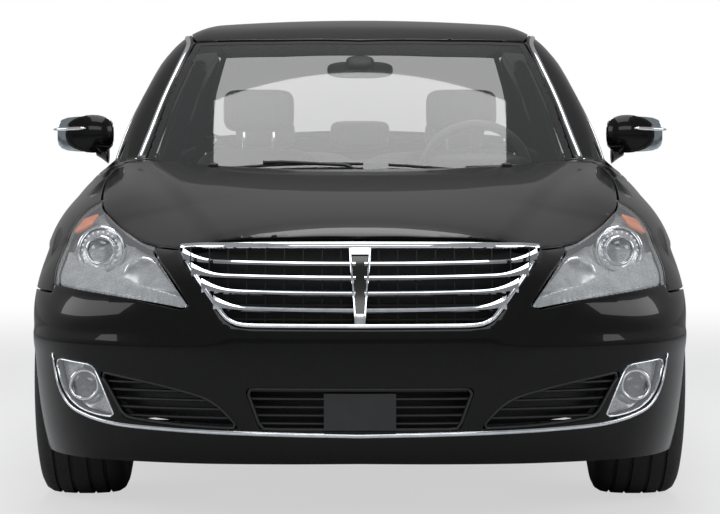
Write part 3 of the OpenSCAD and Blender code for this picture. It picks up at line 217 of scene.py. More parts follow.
def glasshouse(x, y, z, foot=890.0):
    side = x - track(GLASSHOUSE, y) + track(TUMBLE, z)
    roof = z - track(ROOF, y) + 0.000068 * x * x
    windshield = z - 937 - 0.567 * (y + 1150 - 0.00029 * x * x) + 0.00004 * (y + 740) ** 2
    rear = z - 1440 + 0.5 * (y - 1010 + 0.00028 * x * x)
    top = soft_max(soft_max(windshield, roof, 50.0), rear, 80.0)
    return np.maximum(soft_max(side, top, track(ROOF_EDGE, y)), foot - z)

def creases(x, y, z):
    """How far the pressed lines stand out: the bulge of the hood, the shoulders and the bumpers."""
    ahead = soft_step((-1000 - y) / 200)
    edge = 700 - 0.225 * (-1120 - y)
    bulge = 7 * soft_step((edge - x) / 46) * ahead * soft_step((z - 640) / 120)
    bulge = bulge - 5 * ahead * soft_step((z - 640) / 120) * (1 - soft_step((edge + 14 - x) / 60))
    side = soft_step((x - 700) / 100) * soft_step((1250 - np.abs(y)) / 300)
    door = 5 * side * soft_step((z - 560) / 190) * soft_step((806 - z) / 20)
    door = door - 6 * side * soft_step((z - 300) / 60) * soft_step((470 - z) / 110)
    shelf = soft_step((-1985 - y) / 160) * soft_step((z - 420) / 70) * soft_step((516 - z) / 22)
    shelf = 7 * shelf * soft_step((x - 330) / 260)
    return bulge + door + shelf

def body_skin(x, y, z):
    x = np.abs(x)
    return (-soft_max(-lower_body(x, y, z), -glasshouse(x, y, z), track(BELT_BLEND, y))
            - creases(x, y, z) + 1.5)

def glass_skin(x, y, z):
    return glasshouse(np.abs(x), y, z, foot=0.0) + 5

def slope(skin, points):
    """The outward direction of the skin at each point."""
    across = np.stack([skin(*(points + d).T) - skin(*(points - d).T) for d in np.eye(3)], -1)
    return across / np.maximum(np.linalg.norm(across, axis=1, keepdims=True), 1e-9)

# %% [markdown]
# A *chart* turns the skin's points into flat coordinates and back, like a map of the globe. A
# ray starts outside the car and is halved until it meets the skin. Doors use level rays, the
# hood and roof use upright ones, and the rounded corners use a fan about a line inside the car.

# %% Charts: flat coordinates to a ray, and a point to flat coordinates
def fan(pivot, axis, reach):
    """Rays round a line through `pivot` along `axis`: the flat x is the angle times the reach."""
    pivot = np.array(pivot, float)
    along = "xyz".index(axis)
    first, second = [(1, 2), (0, 2), (0, 1)][along]
    def rays(flat):
        angle = flat[:, 0] / reach
        start = np.tile(pivot, (len(flat), 1))
        start[:, along] = flat[:, 1]
        way = np.zeros((len(flat), 3))
        way[:, first], way[:, second] = np.cos(angle), np.sin(angle)
        return start + 1500 * way, start
    def flatten(points):
        off = points - pivot
        angle = np.arctan2(off[:, second], off[:, first])
        if along == 2:
            angle = np.where(angle > math.pi * 0.999, angle - 2 * math.pi, angle)
        return np.stack([angle * reach, points[:, along]], -1)
    return rays, flatten

def level(side):
    def rays(flat):
        ends = [np.full(len(flat), x * side) for x in (1150.0, 250.0)]
        return tuple(np.stack([e, flat[:, 0], flat[:, 1]], -1) for e in ends)
    return rays, lambda points: points[:, 1:]

def upright(low=560.0):
    def rays(flat):
        return tuple(np.stack([flat[:, 0], flat[:, 1], np.full(len(flat), z)], -1)
                     for z in (1700.0, low))
    return rays, lambda points: points[:, :2]

def end_on(end):
    def rays(flat):
        return tuple(np.stack([flat[:, 0], np.full(len(flat), y * end), flat[:, 1]], -1)
                     for y in (2750.0, 1200.0))
    return rays, lambda points: points[:, ::2]

SIDE = level(1)
TOP = upright()
FRONT = end_on(-1)
BACK = end_on(1)
SECTION = fan((300, 0, 480), "y", 650)
NOSE_FAN = fan((0, -1500, 0), "z", 950)
TAIL_FAN = fan((0, 1500, 0), "z", 950)
TRUNK_FAN = fan((0, 2050, 700), "x", 500)

def corner_chart():
    """Rays from one point inside the front corner, where a head lamp is."""
    centre, reach = np.array([450.0, -1900.0, 500.0]), 500
    def rays(flat):
        azimuth, rise = flat[:, 0] / reach, flat[:, 1] / reach
        way = np.stack([np.cos(rise) * np.sin(azimuth), -np.cos(rise) * np.cos(azimuth),
                        np.sin(rise)], -1)
        return centre + 1100 * way, np.tile(centre, (len(flat), 1))
    def flatten(points):
        off = points - centre
        azimuth = np.arctan2(off[:, 0], -off[:, 1])
        rise = np.arctan2(off[:, 2], np.hypot(off[:, 0], off[:, 1]))
        return np.stack([azimuth, rise], -1) * reach
    return rays, flatten

CORNER = corner_chart()

def drop_on(skin, chart, flat):
    """The points where the rays of a chart go in through the skin."""
    flat = np.asarray(flat, float).reshape(-1, 2)
    outside, inside = chart[0](flat)
    for _ in range(24):
        middle = (outside + inside) / 2
        hit = (skin(*middle.T) < 0)[:, None]
        inside, outside = np.where(hit, middle, inside), np.where(hit, outside, middle)
    return inside

def rounded(points, radius=60, closed=False):
    """An outline with its corners rounded: gentle bends widely, sharp corners tightly."""
    points = np.array(points, float)
    count, out = len(points), []
    for i in range(count):
        if not closed and i in (0, count - 1):
            out.append(points[i])
            continue
        before, here, after = points[i - 1], points[i], points[(i + 1) % count]
        a, b = before - here, after - here
        la, lb = np.linalg.norm(a), np.linalg.norm(b)
        turn = math.degrees(math.acos(np.clip(-(a @ b) / (la * lb), -1, 1)))
        cut = min(0.48 * la, 0.48 * lb, radius * 3 if turn < 40 else radius)
        p, q = here + a / la * cut, here + b / lb * cut
        steps = max(2, int(turn / 9) + 1)
        out += [(1 - t) ** 2 * p + 2 * t * (1 - t) * here + t * t * q
                for t in np.linspace(0, 1, steps + 1)]
    return np.array(out)

def seam(chart, points, radius=60, skin=body_skin):
    """An edge on the skin, given in a view's own coordinates, as points in space."""
    line = rounded(points, radius)
    steps = [line[:1]]
    for a, b in zip(line[:-1], line[1:]):
        n = max(1, int(np.linalg.norm(b - a) / 14))
        steps.append(a + (b - a) * np.linspace(0, 1, n + 1)[1:, None])
    return drop_on(skin, chart, np.concatenate(steps))

def arc(y, z, r, a0, a1, n=40):
    """Points of a wheel arch in the side view, from angle a0 to a1 in degrees."""
    return [(y + r * math.cos(math.radians(a)), z + r * math.sin(math.radians(a)))
            for a in np.linspace(a0, a1, n)]

def mirror_points(points):
    return points[::-1] * np.array([-1.0, 1, 1])

print("skin ready", drop_on(body_skin, SIDE, [[0, 640]]))

# %% [markdown]
# ## Small shared steps
# Bars, blades, rods and spokes are all a row of loops with faces from each to the next, and
# wheels and lamp rings are a profile turned round an axis. Each of these steps is a helper, so
# that a piece below says only what its own shape is.

# %% Small shared steps
def to_metres(bm):
    bmesh.ops.scale(bm, vec=(0.001,) * 3, verts=bm.verts)

def flipped(bm, flip):
    """The same mesh for the other side of the car."""
    if flip:
        bmesh.ops.scale(bm, vec=(-1, 1, 1), verts=bm.verts)
        bmesh.ops.reverse_faces(bm, faces=bm.faces[:])
    return bm

def loop_of(bm, points):
    """A closed loop of edges through points."""
    ring = [bm.verts.new(p) for p in points]
    return [bm.edges.new((ring[i], ring[(i + 1) % len(ring)])) for i in range(len(ring))]

def loft(bm, rings, capped=True):
    """Faces from each loop of edges to the next, and over both ends."""
    for a, b in zip(rings[:-1], rings[1:]):
        bmesh.ops.bridge_loops(bm, edges=a + b)
    for end in (rings[0], rings[-1]) if capped else ():
        bmesh.ops.contextual_create(bm, geom=end)

def turned(bm, profile, axis, steps, closed=False):
    """Turns points of space round an axis through the origin."""
    verts = [bm.verts.new(p) for p in profile]
    pairs = list(zip(verts[:-1], verts[1:])) + ([(verts[-1], verts[0])] if closed else [])
    edges = [bm.edges.new(pair) for pair in pairs]
    bmesh.ops.spin(bm, geom=verts + edges, cent=(0, 0, 0), axis=axis, angle=2 * math.pi,
                   steps=steps, use_merge=True)

def weld(bm):
    bmesh.ops.remove_doubles(bm, verts=bm.verts[:], dist=0.01)
    bmesh.ops.recalc_face_normals(bm, faces=bm.faces[:])

def mirrored_line(half):
    """A line that ends at the middle of the car, carried on to the other side."""
    return np.concatenate([half, (half * np.array([-1.0, 1, 1]))[::-1][1:]])

# %% [markdown]
# ## Pressed panels
# A pressed steel panel has a skin, a folded edge that gives the shut line its soft shadow, and
# a wall behind. `skin_mesh` fills an edge with a fine net in the flat chart (a constrained Delaunay
# fill, because no bmesh operator fills a curved edge with even cells), lifts the net onto the
# skin, then extrudes the border in two small steps round the fold and one deep step inwards.

# %% The panel builder
def within(points, ring):
    x, y = points[:, :1], points[:, 1:]
    ax, ay = ring.T
    bx, by = np.roll(ring, -1, 0).T
    span = (ay > y) != (by > y)
    with np.errstate(divide="ignore", invalid="ignore"):
        cross = (bx - ax) * (y - ay) / (by - ay) + ax
    return (span & (x < cross)).sum(1) % 2 == 1

def thin_ring(ring, step):
    """The ring with points about `step` apart."""
    kept = [ring[0]]
    for p in ring[1:]:
        gap = np.linalg.norm(p - kept[-1])
        if gap > step * 1.6:
            n = int(gap / step) + 1
            start = kept[-1]
            kept += [start + (p - start) * k / n for k in range(1, n)]
        if gap > step * 0.45:
            kept.append(p)
    if np.linalg.norm(kept[-1] - kept[0]) < step * 0.4:
        kept.pop()
    return np.array(kept)

def shrink(ring, by):
    """The ring moved inwards in the flat chart, for the gap between two panels."""
    if by == 0:
        return ring
    ahead, behind = np.roll(ring, -1, 0), np.roll(ring, 1, 0)
    way = ahead - behind
    way /= np.maximum(np.linalg.norm(way, axis=1, keepdims=True), 1e-9)
    normal = np.stack([-way[:, 1], way[:, 0]], -1)
    area = (ring[:, 0] * ahead[:, 1] - ahead[:, 0] * ring[:, 1]).sum()
    return ring + normal * by * (1 if area > 0 else -1)

def fill(rings, step):
    """A net of even cells inside the first ring and outside the others."""
    low, high = rings[0].min(0), rings[0].max(0)
    us, vs = (np.arange(a + step / 2, b, step) for a, b in zip(low, high))
    grid = np.stack(np.meshgrid(us, vs, indexing="ij"), -1)
    grid[:, 1::2, 0] += step / 2
    grid = grid.reshape(-1, 2)
    keep = within(grid, rings[0])
    for ring in rings[1:]:
        keep &= ~within(grid, ring)
    grid = grid[keep]
    for ring in rings:
        for part in np.array_split(np.arange(len(grid)), max(1, len(grid) // 4000)):
            if len(part):
                near = np.linalg.norm(grid[part][:, None] - ring[None], axis=2).min(1)
                keep_part = near > step * 0.6
                grid[part[~keep_part]] = np.nan
        grid = grid[~np.isnan(grid[:, 0])]
    points, edges = [grid], []
    count = len(grid)
    for ring in rings:
        n = len(ring)
        edges += [(count + i, count + (i + 1) % n) for i in range(n)]
        points.append(ring)
        count += n
    flat = np.concatenate(points)
    out = delaunay_2d_cdt([Vector(p) for p in flat], edges, [], 0, 1e-4)
    flat = np.array([tuple(p) for p in out[0]])
    faces = np.array([f for f in out[2] if len(f) == 3])
    middle = flat[faces].mean(1)
    keep = within(middle, rings[0])
    for ring in rings[1:]:
        keep &= ~within(middle, ring)
    return flat, faces[keep]

def skin_mesh(name, chart, edge, holes=(), step=14.0, gap=3.0, hem=14.0, fold=2.2, lift=0.0,
              skin=body_skin, mirror_x=False, relief=None):
    """A bmesh of one panel, in metres, with its border folded in."""
    rings = [shrink(thin_ring(chart[1](edge), step), gap)]
    rings += [shrink(thin_ring(chart[1](h), step), -gap if gap > 0 else 0) for h in holes]
    flat, faces = fill(rings, step)
    points = drop_on(skin, chart, flat)
    outward = slope(skin, points)
    points = points + outward * lift
    if relief is not None:
        points = points + outward * relief(points)[:, None]
    bm = bmesh.new()
    verts = [bm.verts.new(p) for p in points]
    used = set(faces.ravel().tolist())
    for a, b, c in faces:
        bm.faces.new((verts[a], verts[b], verts[c]))
    for i, v in enumerate(verts):
        v.index = i
    for i, v in enumerate(verts):
        if i not in used:
            bm.verts.remove(v)
    bm.verts.index_update()
    bm.normal_update()
    face = next(iter(bm.faces))
    here = np.array([face.calc_center_median()[:]])
    if np.dot(slope(skin, here)[0], face.normal) < 0:
        bmesh.ops.reverse_faces(bm, faces=bm.faces[:])
        bm.normal_update()
    if hem:
        normals = {v: v.normal.copy() for v in bm.verts}
        ring = [e for e in bm.edges if e.is_boundary]
        border = {}
        for e in ring:
            face = e.link_faces[0]
            out = (e.verts[1].co - e.verts[0].co).cross(face.normal).normalized()
            if out.dot(face.calc_center_median() - e.verts[0].co) > 0:
                out = -out
            for v in e.verts:
                border.setdefault(v, []).append(out)
        outs = {v: (sum(o, Vector()) / len(o)).normalized() for v, o in border.items()}
        for v in border:
            v.co -= outs[v] * fold
        for across, down in ((fold * 0.62, fold * 0.24), (fold * 0.38, fold * 0.76), (0.0, hem)):
            new = bmesh.ops.extrude_edge_only(bm, edges=ring)["geom"]
            new_verts = [g for g in new if isinstance(g, bmesh.types.BMVert)]
            new_edges = [g for g in new if isinstance(g, bmesh.types.BMEdge)]
            fresh = set(new_verts)
            for v in new_verts:
                old = next(e.other_vert(v) for e in v.link_edges if e.other_vert(v) in outs
                           and e.other_vert(v) not in fresh)
                outs[v], normals[v] = outs[old], normals[old]
                v.co += outs[v] * across - normals[v] * down
            ring = [e for e in new_edges if e.verts[0] in fresh and e.verts[1] in fresh]
    to_metres(bm)
    return flipped(bm, mirror_x)

def finish_piece(bm, name, body, materials, smooth=True, sharp=None, recalc=False):
    """Turns a bmesh into an object that rides on a body."""
    if recalc:
        bmesh.ops.recalc_face_normals(bm, faces=bm.faces[:])
    mesh = bpy.data.meshes.new(name)
    bm.to_mesh(mesh)
    bm.free()
    for material in materials if isinstance(materials, (list, tuple)) else [materials]:
        mesh.materials.append(material)
    piece = bpy.data.objects.new(name, mesh)
    bpy.context.scene.collection.objects.link(piece)
    if smooth:
        mesh.polygons.foreach_set("use_smooth", [True] * len(mesh.polygons))
        if sharp:
            mesh.set_sharp_from_angle(angle=math.radians(sharp))
    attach(piece, body)
    return piece

def join(bms):
    """One bmesh out of several."""
    whole = bmesh.new()
    for part in bms:
        mesh = bpy.data.meshes.new("part")
        part.to_mesh(mesh)
        part.free()
        whole.from_mesh(mesh)
        bpy.data.meshes.remove(mesh)
    return whole

SIDES = (("left", False), ("right", True))
print("panel builder ready")

# %% Panel edges, in the view that shows each best (half of a symmetric one)
WHEEL_Z, ARCH_R, FRONT_AXLE, REAR_AXLE = 351.5, 388, -1700, 1345
HOOD_EDGE = [(0, -1294), (300, -1255), (504, -1160), (650, -1085), (733, -1045), (766, -1130),
             (779, -1256), (774, -1450), (762, -1661), (745, -1811), (709, -1914), (660, -2050),
             (593, -2218), (540, -2300), (491, -2353), (430, -2385), (200, -2440), (0, -2452)]
LAMP_REAR = [(-1700, 868), (-1767, 829), (-1898, 771), (-2044, 710), (-2190, 640), (-2206, 618)]
LAMP_FRONT = [(838, 640), (720, 628), (587, 609), (470, 587), (453, 596), (514, 682), (560, 732)]
GRILLE_EDGE = [(484, 752), (478, 735), (437, 676), (381, 599), (354, 562), (328, 545), (290, 541),
               (0, 540)]
FRONT_DOOR = [(-1010, 268), (162, 268), (162, 1384), (-20, 1372), (-180, 1320), (-480, 1150),
              (-700, 1024), (-900, 918), (-1010, 856)]
REAR_DOOR = [(162, 268), (905, 268), (960, 420), (1075, 640), (1150, 800), (1178, 960),
             (1120, 1130), (1010, 1290), (900, 1362), (700, 1392), (400, 1396), (162, 1384)]
FRONT_WINDOW = [(-650, 972), (115, 978), (115, 1352), (0, 1342), (-160, 1290), (-460, 1118),
                (-640, 1014)]
REAR_WINDOW = [(210, 980), (1105, 1000), (1075, 1110), (965, 1262), (868, 1328), (690, 1358),
               (400, 1364), (210, 1354)]
WINDSHIELD = [(0, -1135), (300, -1112), (520, -1060), (698, -985), (650, -620), (572, -222),
              (300, -285), (0, -315)]
ROOF_PLAN = [(0, -309), (300, -279), (572, -215), (590, -140), (604, 60), (608, 400), (600, 700),
             (575, 930), (550, 992), (300, 1038), (0, 1051)]
REAR_GLASS = [(0, 1054), (300, 1041), (548, 997), (610, 1300), (640, 1600), (600, 1650),
              (300, 1695), (0, 1705)]
TRUNK_PLAN = [(0, 1770), (300, 1762), (610, 1722), (668, 1760), (690, 1900), (690, 2300)]
LOWER_GRILLE = [(300, 378), (262, 269), (-262, 269), (-300, 378)]
INTAKE = [(700, 414), (530, 385), (388, 348), (318, 270), (477, 275), (633, 293)]
FOG = [(828, 441), (717, 430), (657, 292), (700, 294), (760, 310), (800, 345), (822, 400)]

def both(half):
    return np.concatenate([half, mirror_points(half)])

def closed(chart, points, radius=14, skin=body_skin):
    ring = rounded(points, radius, closed=True)
    return seam(chart, np.concatenate([ring, ring[:1]]), 1, skin)

hood_edge = both(seam(TOP, HOOD_EDGE, 14))
lamp_rear = seam(SIDE, LAMP_REAR, 14)
fender_edge = np.concatenate([
    seam(SIDE, [(-1010, 182), (-1010, 856)]),
    seam(TOP, [(746, -1010), (741, -1048), (766, -1130), (779, -1256), (774, -1450),
               (762, -1661), (757, -1700)], 14),
    lamp_rear, seam(SIDE, [(-2206, 618), (-1985, 618)]),
    seam(SIDE, arc(FRONT_AXLE, WHEEL_Z, ARCH_R, 136.9, -25.9), 1)])
side_edge = np.concatenate([
    seam(SIDE, [(-1010, 182), (-1010, 265), (903, 265)] + REAR_DOOR[2:] + FRONT_DOOR[3:], 14),
    seam(TOP, [(746, -1010), (698, -985), (650, -620), (574, -222), (590, -140), (604, 60),
               (608, 400), (600, 700), (575, 930), (550, 993), (610, 1300), (640, 1600),
               (605, 1648), (609, 1722), (668, 1760), (690, 1900), (690, 2300)], 14),
    seam(BACK, [(690, 1040), (690, 907), (800, 906)], 14),
    seam(SIDE, [(2325, 905), (2095, 905), (2240, 690), (1800, 690), (1800, 172), (1690, 172)], 14),
    seam(SIDE, arc(REAR_AXLE, WHEEL_Z, ARCH_R, -27.6, 205.9), 1)])
bumper_edge = both(np.concatenate([
    seam(FRONT, [(0, 172), (426, 168), (704, 168), (820, 168)], 14),
    seam(SIDE, arc(FRONT_AXLE, WHEEL_Z, ARCH_R, 207.9, 136.9), 1),
    seam(SIDE, [(-1985, 618), (-2200, 618)]), seam(FRONT, LAMP_FRONT, 14),
    seam(TOP, [(552, -2285), (491, -2353)]), seam(FRONT, GRILLE_EDGE, 14)]))
tail_bumper_edge = both(np.concatenate([
    seam(BACK, [(0, 176), (700, 176)]), seam(SIDE, [(2300, 174), (1800, 172), (1800, 690), (2330, 690)], 14),
    seam(BACK, [(780, 690), (0, 690)])]))
trunk_edge = both(np.concatenate([
    seam(TOP, TRUNK_PLAN, 14), seam(BACK, [(690, 1040), (690, 697), (0, 697)], 30)]))
print("edges", len(hood_edge), len(fender_edge), len(side_edge), len(bumper_edge))

# %% [markdown]
# The sheet panels come first. Each one replaces the plain solid of the same name, which stays
# behind for collision. The left and right panels come from one bmesh, mirrored.

# %% Hood, trunk lid, roof and the strip behind the rear window
def sheet_panel(name, body, node_names, chart, edge, holes=(), material=None, **how):
    bm = skin_mesh(name, chart, edge, holes, **how)
    piece = finish_piece(bm, name, body, material or black_paint)
    for node in node_names:
        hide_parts(node)
    return piece

sheet_panel("hood_skin", "hood", ["hood"], TOP, hood_edge)
sheet_panel("trunk_skin", "trunk_lid", ["trunk_lid"], TRUNK_FAN, trunk_edge, gap=5, hem=8)
sheet_panel("roof_skin", "car_body", ["roof_panel"], TOP, both(seam(TOP, ROOF_PLAN, 14)), gap=1.5)
deck_edge = both(seam(TOP, [(0, 1708), (300, 1698), (598, 1653), (607, 1720), (300, 1759), (0, 1767)], 8))
sheet_panel("rear_deck_strip", "car_body", [], TOP, deck_edge, gap=0.5, hem=8)

# %% Fenders, body sides and bumpers
for side, flip in SIDES:
    sheet_panel(f"fender_{side}", "car_body", ["front_fenders"] if not flip else [],
                SECTION, fender_edge, mirror_x=flip, hem=26)
    sheet_panel(f"body_side_{side}", "car_body", ["rear_quarters"] if not flip else [],
                SECTION, side_edge, mirror_x=flip, gap=2.0)
bumper_holes = [closed(FRONT, LOWER_GRILLE)]
for points in (INTAKE, FOG):
    ring = closed(FRONT, points, 20)
    bumper_holes += [ring, ring * np.array([-1.0, 1, 1])]
sheet_panel("front_bumper_skin", "car_body", ["front_bumper"], NOSE_FAN, bumper_edge, bumper_holes, hem=26)
sheet_panel("rear_bumper_skin", "car_body", ["rear_bumper"], TAIL_FAN, tail_bumper_edge)

# %% [markdown]
# ## Doors
# A door is a skin, an inner trim panel and a frame round the window. The outer skin is made as
# the other panels are. The inner side is the same net moved inwards by the door's depth, which
# is less round the window, and joined to the skin's border, so the door is closed all round.

# %% Door skins and their trim
def door(name, body, edge, window, flip):
    outer = skin_mesh(name, SIDE, edge, [window], mirror_x=flip, gap=4.5, hem=8)
    skin = finish_piece(outer, f"{name}_skin", body, black_paint)
    inner = skin_mesh(name, SIDE, edge, [window], step=24, gap=8, hem=0, lift=-14)
    for v in inner.verts:
        depth = 0.028 + 0.03 * float(soft_step((0.975 - v.co.z) / 0.06))
        pocket = 0.012 * float(soft_step((0.52 - v.co.z) / 0.05) * soft_step((v.co.z - 0.33) / 0.05))
        rest = 0.03 * float(soft_step((0.035 - abs(v.co.z - 0.70)) / 0.03)
                            * soft_step((v.co.y + 0.72) / 0.1))
        v.co.x -= depth - 0.016 - pocket + rest
    bmesh.ops.reverse_faces(inner, faces=inner.faces[:])
    ring = [e for e in inner.edges if e.is_boundary]
    new = bmesh.ops.extrude_edge_only(inner, edges=ring)["geom"]
    for v in (g for g in new if isinstance(g, bmesh.types.BMVert)):
        v.co.x += 0.012 + 0.03 * float(soft_step((0.975 - v.co.z) / 0.06))
    trim = finish_piece(flipped(inner, flip), f"{name}_trim", body, dash_vinyl, sharp=40)
    return skin, trim

front_door_edge, rear_door_edge = closed(SIDE, FRONT_DOOR), closed(SIDE, REAR_DOOR)
front_hole, rear_hole = closed(SIDE, FRONT_WINDOW, 24), closed(SIDE, REAR_WINDOW, 24)
for side, flip in SIDES:
    skin, _ = door(f"front_door_{side}", f"front_door_{side}", front_door_edge, front_hole, flip)
    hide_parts(f"front_door_{side}")
    skin, _ = door(f"rear_door_{side}", f"rear_door_{side}", rear_door_edge, rear_hole, flip)
    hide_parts(f"rear_door_{side}")
print("doors done")

# %% [markdown]
# ## Glass
# Car glass is tinted, thin and reflective. Alpha lets a little light through without bending it,
# which is how a thin sheet looks, and a clear coat gives it the reflections. Each pane lies a few
# millimetres under the panels, with a black border baked on round its edge.

# %% Window panes
def sheer(name, colour, alpha, rough=0.03, grain=30, **sockets):
    material = finish(name, colour, colour, rough, grain, 0.0, rough * 0.4, **sockets)
    shader = next(n for n in material.node_tree.nodes if n.type == "BSDF_PRINCIPLED")
    shader.inputs["Alpha"].default_value = alpha
    return material

window_glass = sheer("tinted_window_glass", "#2a2d2e", 0.46, **{"Coat Weight": 1.0, "Coat Roughness": 0.01})
frit = finish("black_ceramic_border", "#0a0a0b", "#0e0e10", 0.18, 2.0, 0.02, 0.03)

def pane(name, body, node, chart, edge, flip=False, border=22, gap=2.0):
    """A sheet of glass with a black border baked on round its edge."""
    bm = skin_mesh(name, chart, edge, step=20, gap=gap, hem=4, fold=1, skin=glass_skin,
                   mirror_x=flip)
    piece = finish_piece(bm, f"{name}_pane", body, window_glass)
    if node:
        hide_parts(node)
    inner = shrink(thin_ring(chart[1](edge), 10), border)
    ring = drop_on(glass_skin, chart, inner)
    band = skin_mesh(name, chart, edge, [ring], step=9, gap=gap + 1, hem=0, lift=0.8,
                     skin=glass_skin, mirror_x=flip)
    finish_piece(band, f"{name}_border", body, frit)

pane("windshield", "car_body", "windshield", TOP, both(seam(TOP, WINDSHIELD, 14, glass_skin)), border=30)
pane("rear_window", "car_body", "rear_window", TOP, both(seam(TOP, REAR_GLASS, 14, glass_skin)), border=30)
for side, flip in SIDES:
    for door_name, outline in (("front", FRONT_WINDOW), ("rear", REAR_WINDOW)):
        pane(f"{door_name}_window_{side}", f"{door_name}_door_{side}", f"{door_name}_glass_{side}", SIDE,
             closed(SIDE, outline, 24, glass_skin), flip, border=7, gap=-4.0)

# %% [markdown]
# ## Bright trim
# Chrome strips outline the windows and the bumper. A strip is a small oval section carried along
# an edge on the skin: a ring of points is extruded from station to station and bridged.

# %% A strip along a line on the skin
def strip(points, out, width, height, flip=False, taper=0.0):
    """A closed oval bar along points in mm; `out` points away from the body at each point."""
    bm = bmesh.new()
    ahead = np.gradient(points, axis=0)
    ahead /= np.linalg.norm(ahead, axis=1, keepdims=True)
    across = np.cross(ahead, out)
    across /= np.linalg.norm(across, axis=1, keepdims=True)
    rings, count = [], len(points)
    for k in range(count):
        t = k / (count - 1)
        size = 1 - taper * (abs(2 * t - 1) ** 4)
        rings.append(loop_of(bm, [points[k] + (across[k] * math.cos(a) * width / 2
                                               + out[k] * math.sin(a) * height / 2) * size
                                  for a in np.linspace(0, 2 * math.pi, 12, endpoint=False)]))
    loft(bm, rings)
    bmesh.ops.recalc_face_normals(bm, faces=bm.faces[:])
    bmesh.ops.scale(bm, vec=(-0.001 if flip else 0.001, 0.001, 0.001), verts=bm.verts)
    if flip:
        bmesh.ops.reverse_faces(bm, faces=bm.faces[:])
    return bm

def even(points, step=25):
    """Points at even steps along a line, smoothed a little."""
    length = np.concatenate([[0], np.cumsum(np.linalg.norm(np.diff(points, axis=0), axis=1))])
    at = np.linspace(0, length[-1], max(3, int(length[-1] / step)))
    return np.stack([np.interp(at, length, points[:, i]) for i in range(3)], -1)

def skin_strip(name, body, chart, line, width, height, lift, material=None, flip=False, taper=0.0,
               step=22, radius=60):
    points = even(seam(chart, line, radius), step)
    out = slope(body_skin, points)
    return finish_piece(strip(points + out * lift, out, width, height, flip, taper), name, body,
                        material or chrome)

# %% Window surrounds, pillar trim and the bumper's long strip
for side, flip in SIDES:
    front_trim = [(152, 1376), (-20, 1364), (-180, 1311), (-480, 1141), (-700, 1014), (-905, 909)]
    skin_strip(f"front_door_top_trim_{side}", f"front_door_{side}", SIDE, front_trim, 13, 7, 1, flip=flip)
    skin_strip(f"front_door_belt_trim_{side}", f"front_door_{side}", SIDE,
               [(-880, 916), (-640, 960), (152, 966)], 14, 7, 1, flip=flip)
    rear_trim = [(172, 968), (1100, 984), (1150, 1000), (1100, 1130), (995, 1281), (890, 1350),
                 (700, 1382), (400, 1386), (172, 1377)]
    skin_strip(f"rear_door_trim_{side}", f"rear_door_{side}", SIDE, rear_trim, 13, 7, 1, flip=flip, radius=24)
    skin_strip(f"pillar_trim_{side}", "car_body", TOP,
               [(722, -960), (690, -780), (664, -600), (592, -236), (606, -140), (622, 60),
                (626, 400), (618, 700), (592, 930)], 16, 9, 1, flip=flip)
lower_line = [(838, 455), (823, 367), (790, 313), (728, 288), (654, 273), (477, 264), (264, 258), (0, 254)]
half = seam(FRONT, lower_line, 60)
points = even(mirrored_line(half), 22)
out = slope(body_skin, points)
finish_piece(strip(points + out * 1.5, out, 13, 9, taper=0.5), "bumper_chrome_strip", "car_body", chrome)
print("trim done")

# %% [markdown]
# ## Grille
# The grille is a box of fins, dark with painted shade, behind four bright slats. The slats follow
# the curve of the nose, grow into broad wedges at the frame, and a tapered bar stands in the middle.
# Slats are short stacks of rings, bridged, so their section can change along their length.

# %% Bars with a changing section
def bar(stations, sections):
    """A closed bar through box sections: each is (half height, half depth) with its corners cut."""
    bm = bmesh.new()
    rings = []
    for point, (tall, deep) in zip(stations, sections):
        shape = [(-1, -0.35), (-0.45, -1), (0.45, -1), (1, -0.35), (1, 1), (-1, 1)]
        rings.append(loop_of(bm, [(point[0], point[1] + d * deep, point[2] + h * tall)
                                  for h, d in shape]))
    loft(bm, rings)
    bmesh.ops.recalc_face_normals(bm, faces=bm.faces[:])
    to_metres(bm)
    return bm

def grille_side(z):
    """Half width of the grille opening at a height."""
    return float(np.interp(z, [540, 562, 599, 676, 735, 757], [328, 354, 381, 437, 478, 487]))

def nose_at(x, z):
    return drop_on(body_skin, FRONT, [[abs(x), z]])[0]

SLATS = (585, 629, 669, 705)      # heights of the slats at the middle
slats = []
for z in SLATS:
    for way in (1, -1):
        stations, sections = [], []
        for t in np.linspace(0, 1, 32):
            reach = grille_side(z + 14) + 5
            x = 12 + (reach - 12) * t
            wedge = max(0.0, (x - reach + 92) / 92) ** 2.1
            low = z - 7 + 7 * t ** 2
            high = z + 6 + 7 * t ** 2 + 27 * wedge
            y = nose_at(x, z)[1] + 12 - 6 * wedge
            stations.append((way * x, y, (low + high) / 2))
            sections.append(((high - low) / 2, 8 + 3 * wedge))
        slats.append(bar(stations, sections))
grille_slats = finish_piece(join(slats), "grille_slats", "car_body", chrome, sharp=28)
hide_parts("grille")

def edge_bar(name, line, width, height, lift, radius=14):
    """A bright frame along the opening's edge, both halves in one piece."""
    half = seam(FRONT, line, radius)
    whole = mirrored_line(half) if abs(line[-1][0]) < 1 \
        else half
    points = even(whole, 16)
    out = slope(body_skin, points)
    out[:, 2] *= 0.4
    out /= np.linalg.norm(out, axis=1, keepdims=True)
    return finish_piece(strip(points + out * lift, out, width, height), name, "car_body", chrome)

edge_bar("grille_lower_frame", [(476, 730), (434, 674), (378, 598), (351, 563), (324, 549), (290, 546),
                                (0, 545)], 12, 12, 2, 30)
half = seam(FRONT, [(486, 747), (430, 752), (250, 756), (0, 757)], 30)
points = even(mirrored_line(half), 16)
out = np.tile([0.0, -0.93, 0.37], (len(points), 1))
finish_piece(strip(points + np.array([0, -2.0, -3]), out, 21, 15), "grille_top_bar", "car_body", chrome)

# %% The middle bar and the fins, dark with painted shade
def middle_edge(z):
    """Half width of the middle bar, which widens upwards."""
    return 15 + 15 * ((z - 545) / 203) ** 1.2

